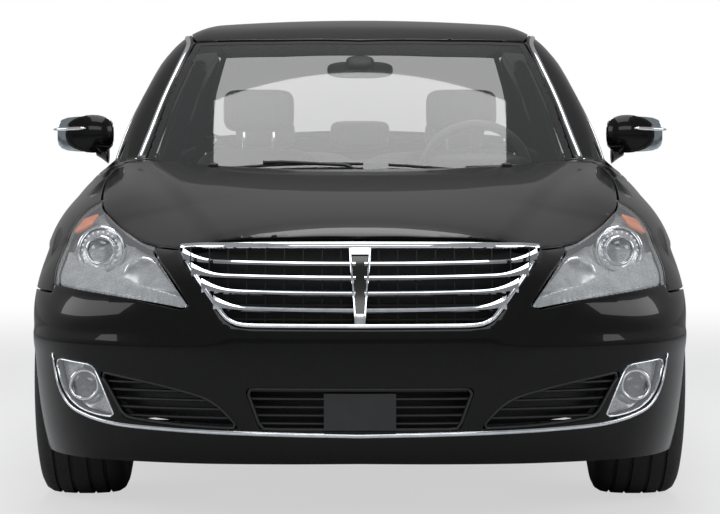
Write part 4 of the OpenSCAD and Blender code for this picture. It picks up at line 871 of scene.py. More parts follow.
def middle_piece(low, high, inner, outer, lift):
    """A plate between two borders, given as functions of height, standing `lift` off the nose."""
    bm = bmesh.new()
    rows = []
    for z in np.linspace(low, high, 14):
        y = nose_at(0, z)[1] + 4 - lift
        rows.append([bm.verts.new((x, y + d, z)) for x, d in
                     ((inner(z), 22), (inner(z), 2), (inner(z) + 1.5, 0), (outer(z) - 1.5, 0),
                      (outer(z), 2), (outer(z), 22))])
    for a, b in zip(rows[:-1], rows[1:]):
        for i in range(6):
            bm.faces.new((a[i], a[(i + 1) % 6], b[(i + 1) % 6], b[i]))
    for row in (rows[0], rows[-1]):
        bm.faces.new(row)
    bmesh.ops.recalc_face_normals(bm, faces=bm.faces[:])
    to_metres(bm)
    return bm

frame_parts = [middle_piece(545, 748, lambda z, w=w: w * middle_edge(z) - (0 if w < 0 else 6),
                            lambda z, w=w: w * middle_edge(z) + (6 if w < 0 else 0), 4)
               for w in (-1, 1)]
for low, high in ((545, 577), (732, 748)):
    frame_parts.append(middle_piece(low, high, lambda z: -middle_edge(z) + 5,
                                    lambda z: middle_edge(z) - 5, 3))
finish_piece(join(frame_parts), "grille_middle_frame", "car_body", chrome, sharp=30)
finish_piece(middle_piece(577, 732, lambda z: -middle_edge(z) + 5, lambda z: middle_edge(z) - 5,
                          -3), "grille_middle_inset", "car_body", gloss_plastic, sharp=30)

# The fins take the near-black of painted shade, darker than their plastic, as the grille's inside lies in
# shade
fins = bmesh.new()
for k in range(-9, 10):
    x = k * 50.0
    if abs(x) > 468:
        continue
    low = float(np.interp(abs(x), [300, 328, 381, 437, 478], [548, 552, 604, 680, 740]))
    y = nose_at(x, 640)[1] + 30
    size = bmesh.ops.create_cube(fins, size=1)["verts"]
    bmesh.ops.scale(fins, vec=(2.4, 10, 750 - low), verts=size)
    bmesh.ops.rotate(fins, verts=size, matrix=Matrix.Rotation(math.radians(-17), 3, "X"))
    bmesh.ops.translate(fins, vec=(x, y + 14, (750 + low) / 2 - 4), verts=size)
for z in (560, 597, 633, 671, 712):
    reach = grille_side(z) - 10
    for way in (-1, 1):
        xs = np.linspace(0, reach, 14)
        size = [(way * x, nose_at(x, z)[1] + 42, z) for x in xs]
        ring_sets = []
        for p in size:
            ring_sets.append(loop_of(fins, [(p[0], p[1] + d, p[2] + h)
                                            for h, d in ((-2, -5), (2, -5), (2, 7), (-2, 7))]))
        loft(fins, ring_sets, capped=False)
to_metres(fins)
finish_piece(fins, "grille_fins", "car_body", painted_shade_black, smooth=False, recalc=True)

# A dark box stands behind the grille and the intakes, so that nothing bright shows through; its near-black is
# painted shade
painted_shade_backs = bmesh.new()
for x0, x1, z0, z1, y in ((-470, 470, 548, 742, -2435), (-300, 300, 262, 384, -2478)):
    made = bmesh.ops.create_grid(painted_shade_backs, x_segments=20, y_segments=6, size=0.5)["verts"]
    for v in made:
        v.co = Vector(((x0 + x1) / 2 + v.co.x * (x1 - x0), y + 80 * (abs(v.co.x) * 2) ** 2,
                       (z0 + z1) / 2 + v.co.y * (z1 - z0)))
to_metres(painted_shade_backs)
finish_piece(painted_shade_backs, "grille_backing_painted_shade", "car_body", painted_shade_black)
print("grille done")

# %% [markdown]
# ## Bumper openings
# Dark slats fill the openings under the grille. They are thin blades that follow the bumper,
# set back from its face. A blank plate holder stands in the middle.

# %% Slats of the lower openings
def opening_slats(name, ring, heights, back, flip=False):
    """Blades from edge to edge of an opening in the end view."""
    ring = np.array(ring, float)
    bm = bmesh.new()
    for z in heights:
        cuts = []
        for a, b in zip(ring, np.roll(ring, -1, 0)):
            if (a[1] > z) != (b[1] > z):
                cuts.append(a[0] + (z - a[1]) / (b[1] - a[1]) * (b[0] - a[0]))
        if len(cuts) < 2:
            continue
        x0, x1 = min(cuts) - 4, max(cuts) + 4
        rings = []
        for x in np.linspace(x0, x1, 14):
            y = nose_at(x, z)[1] + back
            blade = ((-4, 0), (-1, -10), (3, -10), (5, 6))
            rings.append(loop_of(bm, [(x, y + d, z + h) for h, d in blade]))
        loft(bm, rings)
    bmesh.ops.recalc_face_normals(bm, faces=bm.faces[:])
    to_metres(bm)
    return finish_piece(flipped(bm, flip), name, "car_body", black_plastic, sharp=30)

lower = opening_slats("lower_grille_slats", LOWER_GRILLE, range(285, 376, 22), 22)
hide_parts("bumper_grilles")
for side, flip in SIDES:
    opening_slats(f"intake_slats_{side}", INTAKE, (298, 321, 344, 367, 388), 24, flip)
    back_edge = closed(FRONT, [(706, 420), (530, 392), (380, 354), (306, 262), (477, 268), (640, 286)], 20)
    intake_back = skin_mesh("intake_back", FRONT, back_edge, step=30, gap=-4, hem=0, lift=-62, mirror_x=flip)
    finish_piece(intake_back, f"intake_back_{side}", "car_body", black_plastic)
    rim_points = even(closed(FRONT, INTAKE, 20), 20)
    rim_out = slope(body_skin, rim_points)
    finish_piece(strip(rim_points - rim_out * 6, rim_out, 9, 10, flip), f"intake_rim_{side}", "car_body",
                 black_plastic)
rim_points = even(closed(FRONT, LOWER_GRILLE, 14), 20)
rim_out = slope(body_skin, rim_points)
finish_piece(strip(rim_points - rim_out * 6, rim_out, 9, 10), "lower_grille_rim", "car_body", black_plastic)

def blank_plate(name, body, centre, size, way, material):
    """A plain raised plate with rounded corners and a shallow frame."""
    bm = bmesh.new()
    made = bmesh.ops.create_grid(bm, x_segments=12, y_segments=4, size=0.5)["verts"]
    for v in made:
        x, z = v.co.x * size[0], v.co.y * size[1]
        bow = way * 0.05 * (2 * v.co.x) ** 2 * size[0] * 0.2
        v.co = Vector((centre[0] + x, centre[1] - bow, centre[2] + z))
    bm.normal_update()
    if bm.faces[:][0].normal.y * way < 0:
        bmesh.ops.reverse_faces(bm, faces=bm.faces[:])
    bmesh.ops.inset_region(bm, faces=bm.faces[:], thickness=0.006, depth=-0.0015)
    ring = [e for e in bm.edges if e.is_boundary]
    new = bmesh.ops.extrude_edge_only(bm, edges=ring)["geom"]
    rim = [g for g in new if isinstance(g, bmesh.types.BMVert)]
    bmesh.ops.translate(bm, vec=(0, -way * 0.012, 0), verts=rim)
    return finish_piece(bm, name, body, material, sharp=30)

plate_y = float(nose_at(0, 320)[1]) / 1000
blank_plate("front_plate_blank", "car_body", (0, plate_y + 0.004, 0.318), (0.19, 0.096), -1, plate_black)
print("bumper openings done")

# %% [markdown]
# ## Lamps
# A head lamp is a clear lens on the body's corner over a bright bowl. Inside it a projector
# stands in a ring of small lights, next to a second reflector with a bright arc, over a silver
# lower step. Round parts are spun profiles, placed and turned towards the front.

# %% Spun parts
def spun(profile, centre, aim=(0, -1, 0), steps=48):
    """Turns a profile of (radius, depth) in mm round an axis that points along aim."""
    bm = bmesh.new()
    turned(bm, [(r, 0, d) for r, d in profile], (0, 0, 1), steps)
    weld(bm)
    turn = Vector(aim).to_track_quat("Z", "Y").to_matrix()
    bmesh.ops.rotate(bm, verts=bm.verts[:], matrix=turn)
    bmesh.ops.translate(bm, vec=Vector(centre), verts=bm.verts[:])
    to_metres(bm)
    return bm

lens_clear = sheer("clear_lens", "#eef2f5", 0.16, 0.02, **{"Coat Weight": 1.0, "Coat Roughness": 0.01})
projector_glass = sheer("projector_glass", "#3f4549", 0.8, 0.03, **{"Coat Weight": 1.0})
led_white = finish("led_lens_white", "#f4f7fa", "#e2e8ee", 0.2, 4, 0.0, 0.05)
lamp_edge = np.concatenate([
    seam(TOP, [(757, -1700), (745, -1811), (709, -1914), (660, -2050), (593, -2218), (556, -2280)], 14),
    seam(FRONT, LAMP_FRONT[::-1], 14), lamp_rear[::-1]])

PROJECTOR = np.array([722.0, -2085.0, 728.0])
REFLECTOR = np.array([590.0, -2300.0, 664.0])
LAMP_AIM = (0.1, -0.99, 0.04)

def bowl_depth(points):
    """How deep the bowl lies behind the lens: deep round the projector, shallow below."""
    near = np.linalg.norm((points - PROJECTOR) * (1, 0.5, 1), axis=1)
    second = np.linalg.norm((points - REFLECTOR) * (1, 0.5, 1), axis=1)
    step_line = 604 + (points[:, 0] - 470) * 0.31
    low = soft_step((step_line + 30 - points[:, 2]) / 16)
    deep = 34 + 46 * soft_step((98 - near) / 50) + 26 * soft_step((74 - second) / 40)
    return -(deep * (1 - low) + 17 * low) - 1.6 * np.cos(points[:, 0] * 0.42) * low

for side, flip in SIDES:
    lens = finish_piece(skin_mesh("lens", CORNER, lamp_edge, step=12, gap=2.0, hem=10, mirror_x=flip),
                        f"head_lamp_lens_{side}", "car_body", lens_clear)
    if not flip:
        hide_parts("front_lamps")
    bowl = skin_mesh("bowl", CORNER, lamp_edge, step=7, gap=4.0, hem=0, relief=bowl_depth, mirror_x=flip)
    finish_piece(bowl, f"head_lamp_bowl_{side}", "car_body", lamp_grey)
    parts = [spun([(0, 14), (14, 12), (26, 5), (33, -4)], PROJECTOR + (0, -34, 0), LAMP_AIM)]
    finish_piece(flipped(join(parts), flip), f"projector_lens_{side}", "car_body", projector_glass)
    metal = [spun([(33, -8), (36, 4), (40, 5), (43, -2), (44, -40)], PROJECTOR + (0, -34, 0), LAMP_AIM),
             spun([(58, -6), (62, 4), (66, 5), (69, 0), (70, -16), (56, -20)],
                  PROJECTOR + (0, -18, 0), LAMP_AIM),
             spun([(10, -34), (24, -28), (40, -10), (46, 4), (50, 6), (53, 2), (54, -20)],
                  REFLECTOR + (0, 8, 0), LAMP_AIM)]
    finish_piece(flipped(join(metal), flip), f"lamp_reflectors_{side}", "car_body", reflector_silver)
    leds = bmesh.new()
    turn = Vector(LAMP_AIM).to_track_quat("Z", "Y").to_matrix()
    for k in range(22):
        a = 2 * math.pi * k / 22
        made = bmesh.ops.create_icosphere(leds, subdivisions=2, radius=3.4)["verts"]
        bmesh.ops.translate(leds, vec=turn @ Vector((51 * math.cos(a), 51 * math.sin(a), 6)) + Vector(
            PROJECTOR + (0, -24, 0)), verts=made)
    to_metres(leds)
    finish_piece(flipped(leds, flip), f"lamp_led_ring_{side}", "car_body", led_white)
    # The bright arc that sweeps under both reflectors
    arc_points = even(drop_on(body_skin, FRONT, rounded([(500, 618), (560, 640), (640, 668), (700, 655),
                      (768, 668), (800, 716)], 60)), 10)
    arc_out = slope(body_skin, arc_points)
    finish_piece(strip(arc_points - arc_out * 22, arc_out, 5, 8, flip), f"lamp_arc_{side}", "car_body",
                 reflector_silver)
    marker_edge = closed(SIDE, [(-1775, 806), (-1795, 838), (-1880, 806), (-1884, 778)], 10)
    marker = skin_mesh("marker", SIDE, marker_edge, step=9, gap=1, hem=5, lift=-12, mirror_x=flip)
    finish_piece(marker, f"side_marker_{side}", "car_body", amber)

# %% Fog lamps
for side, flip in SIDES:
    fog_ring = closed(FRONT, FOG, 16)
    lens = finish_piece(skin_mesh("fog", FRONT, fog_ring, step=10, gap=2, hem=8, lift=-2, mirror_x=flip),
                        f"fog_lamp_lens_{side}", "car_body", lens_clear)
    def fog_bowl(points):
        off = np.linalg.norm((points - (746, -2373, 372)) * (1, 0.3, 1), axis=1)
        return -(20 + 26 * soft_step((62 - off) / 30)) - 1.2 * np.cos(points[:, 2] * 0.5)
    finish_piece(skin_mesh("fogbowl", FRONT, fog_ring, step=7, gap=3, hem=0, relief=fog_bowl, mirror_x=flip),
                 f"fog_lamp_bowl_{side}", "car_body", lamp_grey)
    centre = (744, -2352, 374)
    aim = (0.22, -0.97, 0)
    metal = [spun([(0, -22), (16, -18), (30, -6), (36, 6), (40, 8), (43, 4), (44, -14)], centre, aim)]
    finish_piece(flipped(join(metal), flip), f"fog_lamp_reflector_{side}", "car_body", reflector_silver)
    glass = spun([(0, 7), (18, 6), (30, 2), (36, -3)], centre, aim)
    finish_piece(flipped(glass, flip), f"fog_lamp_glass_{side}", "car_body", projector_glass)
    rim_points = even(fog_ring, 14)
    rim_out = slope(body_skin, rim_points)
    finish_piece(strip(rim_points - rim_out * 3, rim_out, 6, 8, flip), f"fog_lamp_frame_{side}", "car_body",
                 chrome)

# %% Tail lamps
red_lens = sheer("red_lens", "#7c0c10", 0.86, 0.06, **{"Coat Weight": 1.0, "Coat Roughness": 0.02})
red_inner = finish("red_reflector", "#b01a1c", "#7a0e10", 0.25, 3, 0.15, 0.06)
tail_edge = np.concatenate([
    seam(BACK, [(697, 692), (697, 902), (800, 903)], 8),
    seam(SIDE, [(2325, 903), (2100, 903), (2240, 694), (2330, 693)], 14)])
def light_bars(points):
    return 1.2 * np.cos(points[:, 2] * 2 * math.pi / 34)
for side, flip in SIDES:
    lens = finish_piece(skin_mesh("tail", TAIL_FAN, tail_edge, step=9, gap=2, hem=10, relief=light_bars,
                        mirror_x=flip), f"tail_lamp_lens_{side}", "car_body", red_lens)
    if not flip:
        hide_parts("tail_lamps")
    bowl = skin_mesh("tailbowl", TAIL_FAN, tail_edge, step=14, gap=4, hem=0, lift=-18, mirror_x=flip)
    finish_piece(bowl, f"tail_lamp_bowl_{side}", "car_body", red_inner)
    reverse = skin_mesh("reverse", BACK, closed(BACK, [(708, 712), (760, 712), (760, 742), (708, 742)], 5),
                        step=9, gap=0, hem=4, lift=2, mirror_x=flip)
    finish_piece(reverse, f"reversing_lamp_{side}", "car_body", lens_clear)

# The trunk lid carries lamp ends, a bright bar and a blank plate in the middle
for side, flip in SIDES:
    lid_lamp_edge = closed(BACK, [(500, 800), (682, 770), (682, 896), (520, 896)], 14)
    inner_lamp = skin_mesh("lid_lamp", BACK, lid_lamp_edge, step=9, gap=0, hem=6, lift=2.5,
                           relief=light_bars, mirror_x=flip)
    finish_piece(inner_lamp, f"lid_lamp_{side}", "trunk_lid", red_lens)
half = seam(BACK, [(480, 905), (300, 912), (0, 914)], 30)
points = even(mirrored_line(half), 22)
out = slope(body_skin, points)
finish_piece(strip(points + out * 2, out, 20, 12, taper=0.6), "trunk_chrome_bar", "trunk_lid", chrome)
back_y = float(drop_on(body_skin, BACK, [[0, 800]])[0][1]) / 1000
blank_plate("rear_plate_blank", "trunk_lid", (0, back_y + 0.004, 0.805), (0.44, 0.12), 1, plate_black)
print("lamps done")

# %% [markdown]
# ## Mirrors, handles, wipers
# A door mirror is a smooth pod: a cut-up cube whose points are pushed onto a soft box.
# Its foot is a small tapered arm. A clear indicator strip wraps the front of the pod.

# %% Rounded pods
def pod(centre, size, taper=(1, 1), turn=0.0, cuts=3, squash_power=2.6):
    """A superellipsoid: a sphere whose points are pushed towards a box's corners."""
    bm = bmesh.new()
    bmesh.ops.create_cube(bm, size=2)
    bmesh.ops.subdivide_edges(bm, edges=bm.edges[:], cuts=2 ** cuts + 1, use_grid_fill=True)
    for v in bm.verts:
        p = v.co
        length = (abs(p.x) ** squash_power + abs(p.y) ** squash_power + abs(p.z) ** squash_power) ** (
            1 / squash_power)
        p /= length
        scale_z = taper[0] + (taper[1] - taper[0]) * (p.x + 1) / 2
        v.co = Vector((p.x * size[0] / 2, p.y * size[1] / 2 * scale_z ** 0.6, p.z * size[2] / 2 * scale_z))
    bmesh.ops.rotate(bm, verts=bm.verts[:], matrix=Matrix.Rotation(math.radians(turn), 3, "Z"))
    bmesh.ops.translate(bm, verts=bm.verts[:], vec=Vector(centre))
    to_metres(bm)
    return bm

mirror_glass = finish("mirror_glass", "#aab4ba", "#a2adb4", 0.04, 20, 0.0, 0.02, Metallic=1.0)
for side, flip in SIDES:
    low, high = (np.array(c) * 1000 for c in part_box(f"door_mirror_{side}"))
    outer = max(abs(low[0]), abs(high[0]))
    head = pod((outer - 109, -706, 1066), (216, 136, 158), (0.95, 0.88), 8)
    rear_cut = bmesh.ops.bisect_plane(head, geom=head.verts[:] + head.edges[:] + head.faces[:],
                                      plane_co=(0, -0.662, 0), plane_no=(0.10, 1, 0), clear_outer=True)
    rim = [g for g in rear_cut["geom_cut"] if isinstance(g, bmesh.types.BMEdge)]
    face = bmesh.ops.contextual_create(head, geom=rim)["faces"]
    bmesh.ops.inset_region(head, faces=face, thickness=0.006, depth=-0.008)
    shell = finish_piece(flipped(head, flip), f"mirror_shell_{side}", f"front_door_{side}", black_paint,
                         sharp=50)
    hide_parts(f"door_mirror_{side}")
    glass = pod((outer - 109, -667, 1066), (190, 10, 128), (0.95, 0.88), 6, 2, 4)
    finish_piece(flipped(glass, flip), f"mirror_glass_{side}", f"front_door_{side}", mirror_glass)
    arm = []
    for k, t in enumerate(np.linspace(0, 1, 7)):
        x = 832 + (outer - 150 - 832) * t
        arm.append(((x, -700 - 8 * t, 1000 + 26 * t ** 1.5)))
    bm = bmesh.new()
    rings = []
    for k, p in enumerate(arm):
        wide, tall = 46 - 10 * math.sin(k / 6 * math.pi), 32 - 5 * math.sin(k / 6 * math.pi)
        rings.append(loop_of(bm, [(p[0], p[1] + wide * math.cos(a), p[2] + tall * math.sin(a))
                                  for a in np.linspace(0, 2 * math.pi, 16, endpoint=False)]))
    loft(bm, rings)
    bmesh.ops.recalc_face_normals(bm, faces=bm.faces[:])
    to_metres(bm)
    finish_piece(flipped(bm, flip), f"mirror_arm_{side}", f"front_door_{side}", gloss_plastic)
    strip_points, strip_out = [], []
    for t in np.linspace(-0.1, 0.94, 16):
        x = outer - 109 + 105 * t
        bow = (1 - abs(t) ** 2.6) ** (1 / 2.6)
        strip_points.append((x, -706 - 68 * bow - 2 + 15 * t, 1080 + 4 * (1 - abs(t))))
        strip_out.append((0.5 * t, -1, 0))
    strip_out = np.array(strip_out) / np.linalg.norm(strip_out, axis=1, keepdims=True)
    blinker = strip(np.array(strip_points), strip_out, 12, 9, flip, 0.6)
    finish_piece(blinker, f"mirror_indicator_{side}", f"front_door_{side}", reflector_silver)

# %% Door handles: a bright bar on two feet over a dished pocket
for side, flip in SIDES:
    for which, y0 in (("front", -130), ("rear", 830)):
        z0 = 835
        line = [(y0 - 108 + 216 * t, z0 + 8 * t) for t in np.linspace(0, 1, 12)]
        points = drop_on(body_skin, SIDE, line)
        out = slope(body_skin, points)
        bow = np.sin(np.linspace(0, math.pi, 12)) ** 0.6
        points = points + out * (2 + 24 * bow[:, None])
        handle = strip(points, out, 24, 11, flip)
        finish_piece(handle, f"{which}_handle_{side}", f"{which}_door_{side}", chrome)
        dish_edge = closed(SIDE, [(y0 - 70, z0 - 26), (y0 + 70, z0 - 22), (y0 + 70, z0 + 30),
                                  (y0 - 70, z0 + 26)], 24)
        dish = skin_mesh("dish", SIDE, dish_edge, step=8, gap=0, hem=0, lift=0.5, mirror_x=flip)
        finish_piece(dish, f"{which}_handle_dish_{side}", f"{which}_door_{side}", gloss_plastic)

# %% Wipers and washer jets
def rod(points, radius, flip=False):
    """A round bar through points in mm."""
    points = even(np.array(points, float), 14)
    out = np.tile([0.0, 0, 1.0], (len(points), 1))
    return strip(points, out, radius * 2, radius * 2, flip)

def on_glass(x, y, up):
    return tuple(drop_on(glass_skin, TOP, [[x, y]])[0] + (0, -0.5 * up, 0.87 * up))

for name, x0, x1 in (("left", 90, 640), ("right", -560, 10)):
    pivot = (x1 - 30 if name == "left" else x1 - 20, -1148, 948)
    blade = [on_glass(x, -1098 + 0.0001 * (x - 300) ** 2 * 0.6, 9) for x in np.linspace(x0, x1, 10)]
    finish_piece(rod(blade, 4.5), f"wiper_blade_{name}", "car_body", seal_rubber)
    middle_point = blade[4]
    arm = [pivot, (pivot[0] - 30, -1135, 964),
           (middle_point[0] + 60, middle_point[1] - 16, middle_point[2] + 12),
           (middle_point[0], middle_point[1], middle_point[2] + 10)]
    finish_piece(rod(arm, 5.5), f"wiper_arm_{name}", "car_body", black_plastic)
for side, flip in SIDES:
    jet = pod((458, -1215, drop_on(body_skin, TOP, [[458, -1215]])[0][2] + 3), (34, 24, 14), (1, 1), 0, 2)
    finish_piece(flipped(jet, flip), f"washer_jet_{side}", "hood", black_plastic)

# %% [markdown]
# ## Wheels
# A tyre is a spun profile whose tread is cut by grooves: the profile carries the long grooves,
# and the shoulder blocks are pressed into its sides. The alloy rim has ten twin-edged spokes between a
# spun barrel and a hub with five bolts. Each wheel is built once at its own axle and copied.

# %% Tyre and rim
def wheel_bm(kind):
    """One wheel part at x > 0, its axle along X through the origin, in mm."""
    out_x, in_x = 800 + 122.5, 800 - 122.5
    bm = bmesh.new()
    if kind == "tyre":
        tread = []
        for edge, depth in ((-70, 7), (-26, 7), (26, 7), (70, 7)):
            tread += [(edge - 6, 0), (edge - 4, depth), (edge + 4, depth), (edge + 6, 0)]
        crown = [(800 + e, 351 - 0.0006 * abs(e) ** 2.0 - d) for e, d in tread]
        side_in = [(in_x + 26, 248), (in_x + 8, 252), (in_x + 2, 270), (in_x + 0.5, 300), (in_x + 4, 318),
                   (in_x + 12, 334), (in_x + 28, 344)]
        side_out = [(1600 - x, r) for x, r in side_in[::-1]]
        profile = side_in + crown + side_out
        turned(bm, [(x, 0, r) for x, r in profile], (1, 0, 0), 144)
        weld(bm)
        for v in bm.verts:
            r = math.hypot(v.co.y, v.co.z)
            a = math.degrees(math.atan2(v.co.z, v.co.y)) % 360
            off = abs(v.co.x - 800)
            if off > 72 and r > 326 and (round(a / 2.5) % 2 == 0):
                v.co.y *= (r - 4.5) / r
                v.co.z *= (r - 4.5) / r
    elif kind == "rim":
        profile = [(in_x + 8, 229), (in_x + 8, 250), (in_x + 14, 250), (in_x + 18, 240), (in_x + 60, 238),
                   (in_x + 74, 226), (out_x - 74, 226), (out_x - 58, 238), (out_x - 20, 240),
                   (out_x - 14, 250), (out_x - 8, 251), (out_x - 6, 247), (out_x - 9, 238),
                   (out_x - 16, 232), (out_x - 50, 228), (out_x - 70, 217), (in_x + 70, 217),
                   (in_x + 50, 229), (in_x + 8, 229)]
        turned(bm, [(x, 0, r) for x, r in profile[:-1]], (1, 0, 0), 96, closed=True)
        hub = [(out_x - 70, 20), (out_x - 70, 66), (out_x - 26, 74), (out_x - 20, 68), (out_x - 19, 40),
               (out_x - 15, 36), (out_x - 14, 0.0)]
        turned(bm, [(x, 0, r) for x, r in hub], (1, 0, 0), 48)
        for k in range(10):
            rings = []
            for t in np.linspace(0, 1, 9):
                r = 58 + 176 * t
                half_w = 21 - 9 * math.sin(t * math.pi) ** 0.8 + 5 * t ** 4
                x = out_x - 24 + 10 * t ** 1.5
                deep = 34 - 8 * t
                shape = [(-1, 0), (-0.72, 8), (-0.3, 5), (0.3, 5), (0.72, 8), (1, 0), (0.7, -deep),
                         (-0.7, -deep)]
                rings.append(loop_of(bm, [(x + d, s * half_w, r) for s, d in shape]))
            new = set(v for e in sum(rings, []) for v in e.verts)
            loft(bm, rings)
            turn = Matrix.Rotation(2 * math.pi * (k + 0.5) / 10, 3, "X")
            bmesh.ops.rotate(bm, verts=list(new), matrix=turn)
        weld(bm)
    elif kind == "bolts":
        for k in range(5):
            made = bmesh.ops.create_cone(bm, cap_ends=True, segments=6, radius1=10, radius2=9,
                                         depth=16)["verts"]
            bmesh.ops.rotate(bm, verts=made, matrix=Matrix.Rotation(math.pi / 2, 3, "Y"))
            bmesh.ops.translate(bm, verts=made, vec=(out_x - 22, 0, 54))
            bmesh.ops.rotate(bm, verts=made, matrix=Matrix.Rotation(2 * math.pi * k / 5, 3, "X"))
        cap = bmesh.ops.create_uvsphere(bm, u_segments=32, v_segments=12, radius=31)["verts"]
        bmesh.ops.scale(bm, verts=cap, vec=(0.22, 1, 1))
        bmesh.ops.translate(bm, verts=cap, vec=(out_x - 15, 0, 0))
    return bm

def disc_bm():
    bm = bmesh.new()
    profile = [(0, 70), (0, 165), (10, 165), (10, 160), (13, 160), (13, 165), (22, 165), (22, 92), (40, 88),
               (40, 66), (0, 66)]
    turned(bm, [(690 + 46 + x, 0, r) for x, r in profile], (1, 0, 0), 72, closed=True)
    weld(bm)
    return bm

disc_steel = finish("turned_brake_disc", "#9b9c9e", "#86878a", 0.28, 1.5, 0.1, 0.1, Metallic=1.0)
wheel_kinds = (("tyre", rubber), ("rim", satin_alloy), ("bolts", chrome), ("disc", disc_steel))
for end, axle in (("front", FRONT_AXLE), ("rear", REAR_AXLE)):
    for side, flip in SIDES:
        for kind, material in wheel_kinds:
            bm = disc_bm() if kind == "disc" else wheel_bm(kind)
            bmesh.ops.translate(bm, verts=bm.verts[:], vec=(0, axle, WHEEL_Z))
            to_metres(bm)
            piece = finish_piece(flipped(bm, flip), f"{kind}_{end}_{side}_look",
                                 f"wheel_{end}_{side}", material, sharp=32)
            if kind in ("tyre", "rim"):
                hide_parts(f"{kind}_{end}_{side}")
print("wheels done")

# %% [markdown]
# ## Seats
# A leather seat is foam under stitched panels: crowned in the middle, pulled in at its seams and
# raised in bolsters at the sides. Each pad starts as a rounded cube that is bent along a centre
# line, then its front is pushed out and the sewn channels are pressed in, and one subdivision
# smooths it. This keeps every pad inside the space of its solid and gives the same shape each run.

# %% Padded leather forms
def pad(name, line, half_w, thick, front=1, channels=(), bolster=14, cross_seams=()):
    """A cushion along a centre line of (y, z) in mm; `front` is the padded side's direction."""
    bm = bmesh.new()
    bmesh.ops.create_cube(bm, size=2)
    bmesh.ops.subdivide_edges(bm, edges=bm.edges[:], cuts=27, use_grid_fill=True)
    line = np.array(line, float)
    length = np.concatenate([[0], np.cumsum(np.linalg.norm(np.diff(line, axis=0), axis=1))])
    for v in bm.verts:
        p = v.co.copy()
        power = 5.0
        norm = (abs(p.x) ** power + abs(p.y) ** power + abs(p.z) ** power) ** (1 / power)
        p /= norm
        at = (p.z + 1) / 2 * length[-1]
        y, z = np.interp(at, length, line[:, 0]), np.interp(at, length, line[:, 1])
        ahead = 4.0
        y2, z2 = (np.interp(min(at + ahead, length[-1]), length, line[:, 0]),
                  np.interp(min(at + ahead, length[-1]), length, line[:, 1]))
        y1, z1 = (np.interp(max(at - ahead, 0), length, line[:, 0]),
                  np.interp(max(at - ahead, 0), length, line[:, 1]))
        way = Vector((0, y2 - y1, z2 - z1)).normalized()
        normal = Vector((0, way.z, -way.y)) * front
        depth = p.y * thick / 2
        if p.y > 0:
            crown = 9 * (1 - min(1, abs(p.x)) ** 2) * (1 - abs(p.z) ** 4)
            side = bolster * float(soft_step((abs(p.x) - 0.62) / 0.14)) * (1 - abs(p.z) ** 6)
            groove = sum(5 * math.exp(-((p.x - c) / 0.026) ** 2) for c in (-0.64, 0.64))
            groove += sum(2.2 * math.exp(-((p.x - c) / 0.022) ** 2) for c in channels)
            groove += sum(4 * math.exp(-((p.z - c) / 0.02) ** 2) for c in cross_seams)
            depth += (crown + side - groove) * min(1, p.y * 1.6) - bolster
        v.co = Vector((p.x * half_w, y, z)) + normal * depth
    bm.normal_update()
    bmesh.ops.recalc_face_normals(bm, faces=bm.faces[:])
    return bm

def place_pad(bms, name, xs, body="car_body"):
    whole = join(bms)
    copies = []
    for x in xs:
        copy = whole.copy()
        bmesh.ops.translate(copy, verts=copy.verts[:], vec=(x, 0, 0))
        copies.append(copy)
    whole.free()
    bm = join(copies)
    to_metres(bm)
    piece = finish_piece(bm, name, body, leather_hide)
    smoother = piece.modifiers.new("smooth_leather", "SUBSURF")
    smoother.levels = smoother.render_levels = 1
    return piece

SEAT_X = 375
base = pad("base", [(-385, 405), (-150, 402), (130, 400)], 254, 128, -1, (-0.22, 0.22), 20, (-0.55,))
seat_bases = place_pad([base], "front_seat_cushions", (-SEAT_X, SEAT_X))
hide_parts("seats")
back = pad("back", [(208, 350), (235, 520), (300, 800), (345, 1022)], 252, 100, -1, (-0.22, 0.22),
           18, (0.35,))
place_pad([back], "front_seat_backrests", (-SEAT_X, SEAT_X))
head = pad("head", [(372, 1086), (380, 1160), (384, 1240)], 130, 92, -1, (), 4)
place_pad([head], "front_head_rests", (-SEAT_X, SEAT_X))
bench = pad("bench", [(510, 425), (760, 432), (985, 436)], 290, 118, -1, (-0.3, 0, 0.3), 12, (-0.5,))
place_pad([bench], "rear_bench_cushions", (-296, 296))
rear_back = pad("rear_back", [(1050, 500), (1090, 700), (1152, 960), (1172, 1010)], 290, 90, -1,
                (-0.3, 0, 0.3), 12, (0.3,))
place_pad([rear_back], "rear_bench_backrests", (-296, 296))
rear_head = pad("rear_head", [(1196, 1030), (1206, 1080), (1216, 1134)], 118, 70, -1, (), 3)
place_pad([rear_head], "rear_head_rests", (-380, 0, 380))
posts = []
for x in (-SEAT_X, SEAT_X):
    for dx in (-55, 55):
        posts.append(rod([(x + dx, 352, 1000), (x + dx, 368, 1050), (x + dx, 376, 1110)], 6))
finish_piece(join(posts), "head_rest_posts", "car_body", chrome)
print("seats done")

# %% [markdown]
# ## Cabin trim
# Through the glass one sees the roof lining, the parcel shelf, the mirror on the windshield with
# its sensor pod, the top of the dashboard and the steering wheel.

# %% Roof lining, shelf and mirror
lining_edge = seam(TOP, [(0, -285), (300, -255), (530, -190), (552, -120), (566, 60), (570, 400),
                         (562, 700), (536, 930), (500, 985), (300, 1015), (0, 1028)], 14)
lining = skin_mesh("lining", TOP, both(lining_edge), step=28, gap=0, hem=0, lift=-22)
bmesh.ops.reverse_faces(lining, faces=lining.faces[:])
finish_piece(lining, "roof_lining", "car_body", headliner_cloth)
shelf = bmesh.new()
made = bmesh.ops.create_grid(shelf, x_segments=24, y_segments=8, size=0.5)["verts"]
for v in made:
    v.co = Vector((v.co.x * 1.16, 1.47 + v.co.y * 0.36, 1.012 + 0.006 * math.cos(v.co.x * 9)))
finish_piece(shelf, "parcel_shelf", "car_body", carpet)

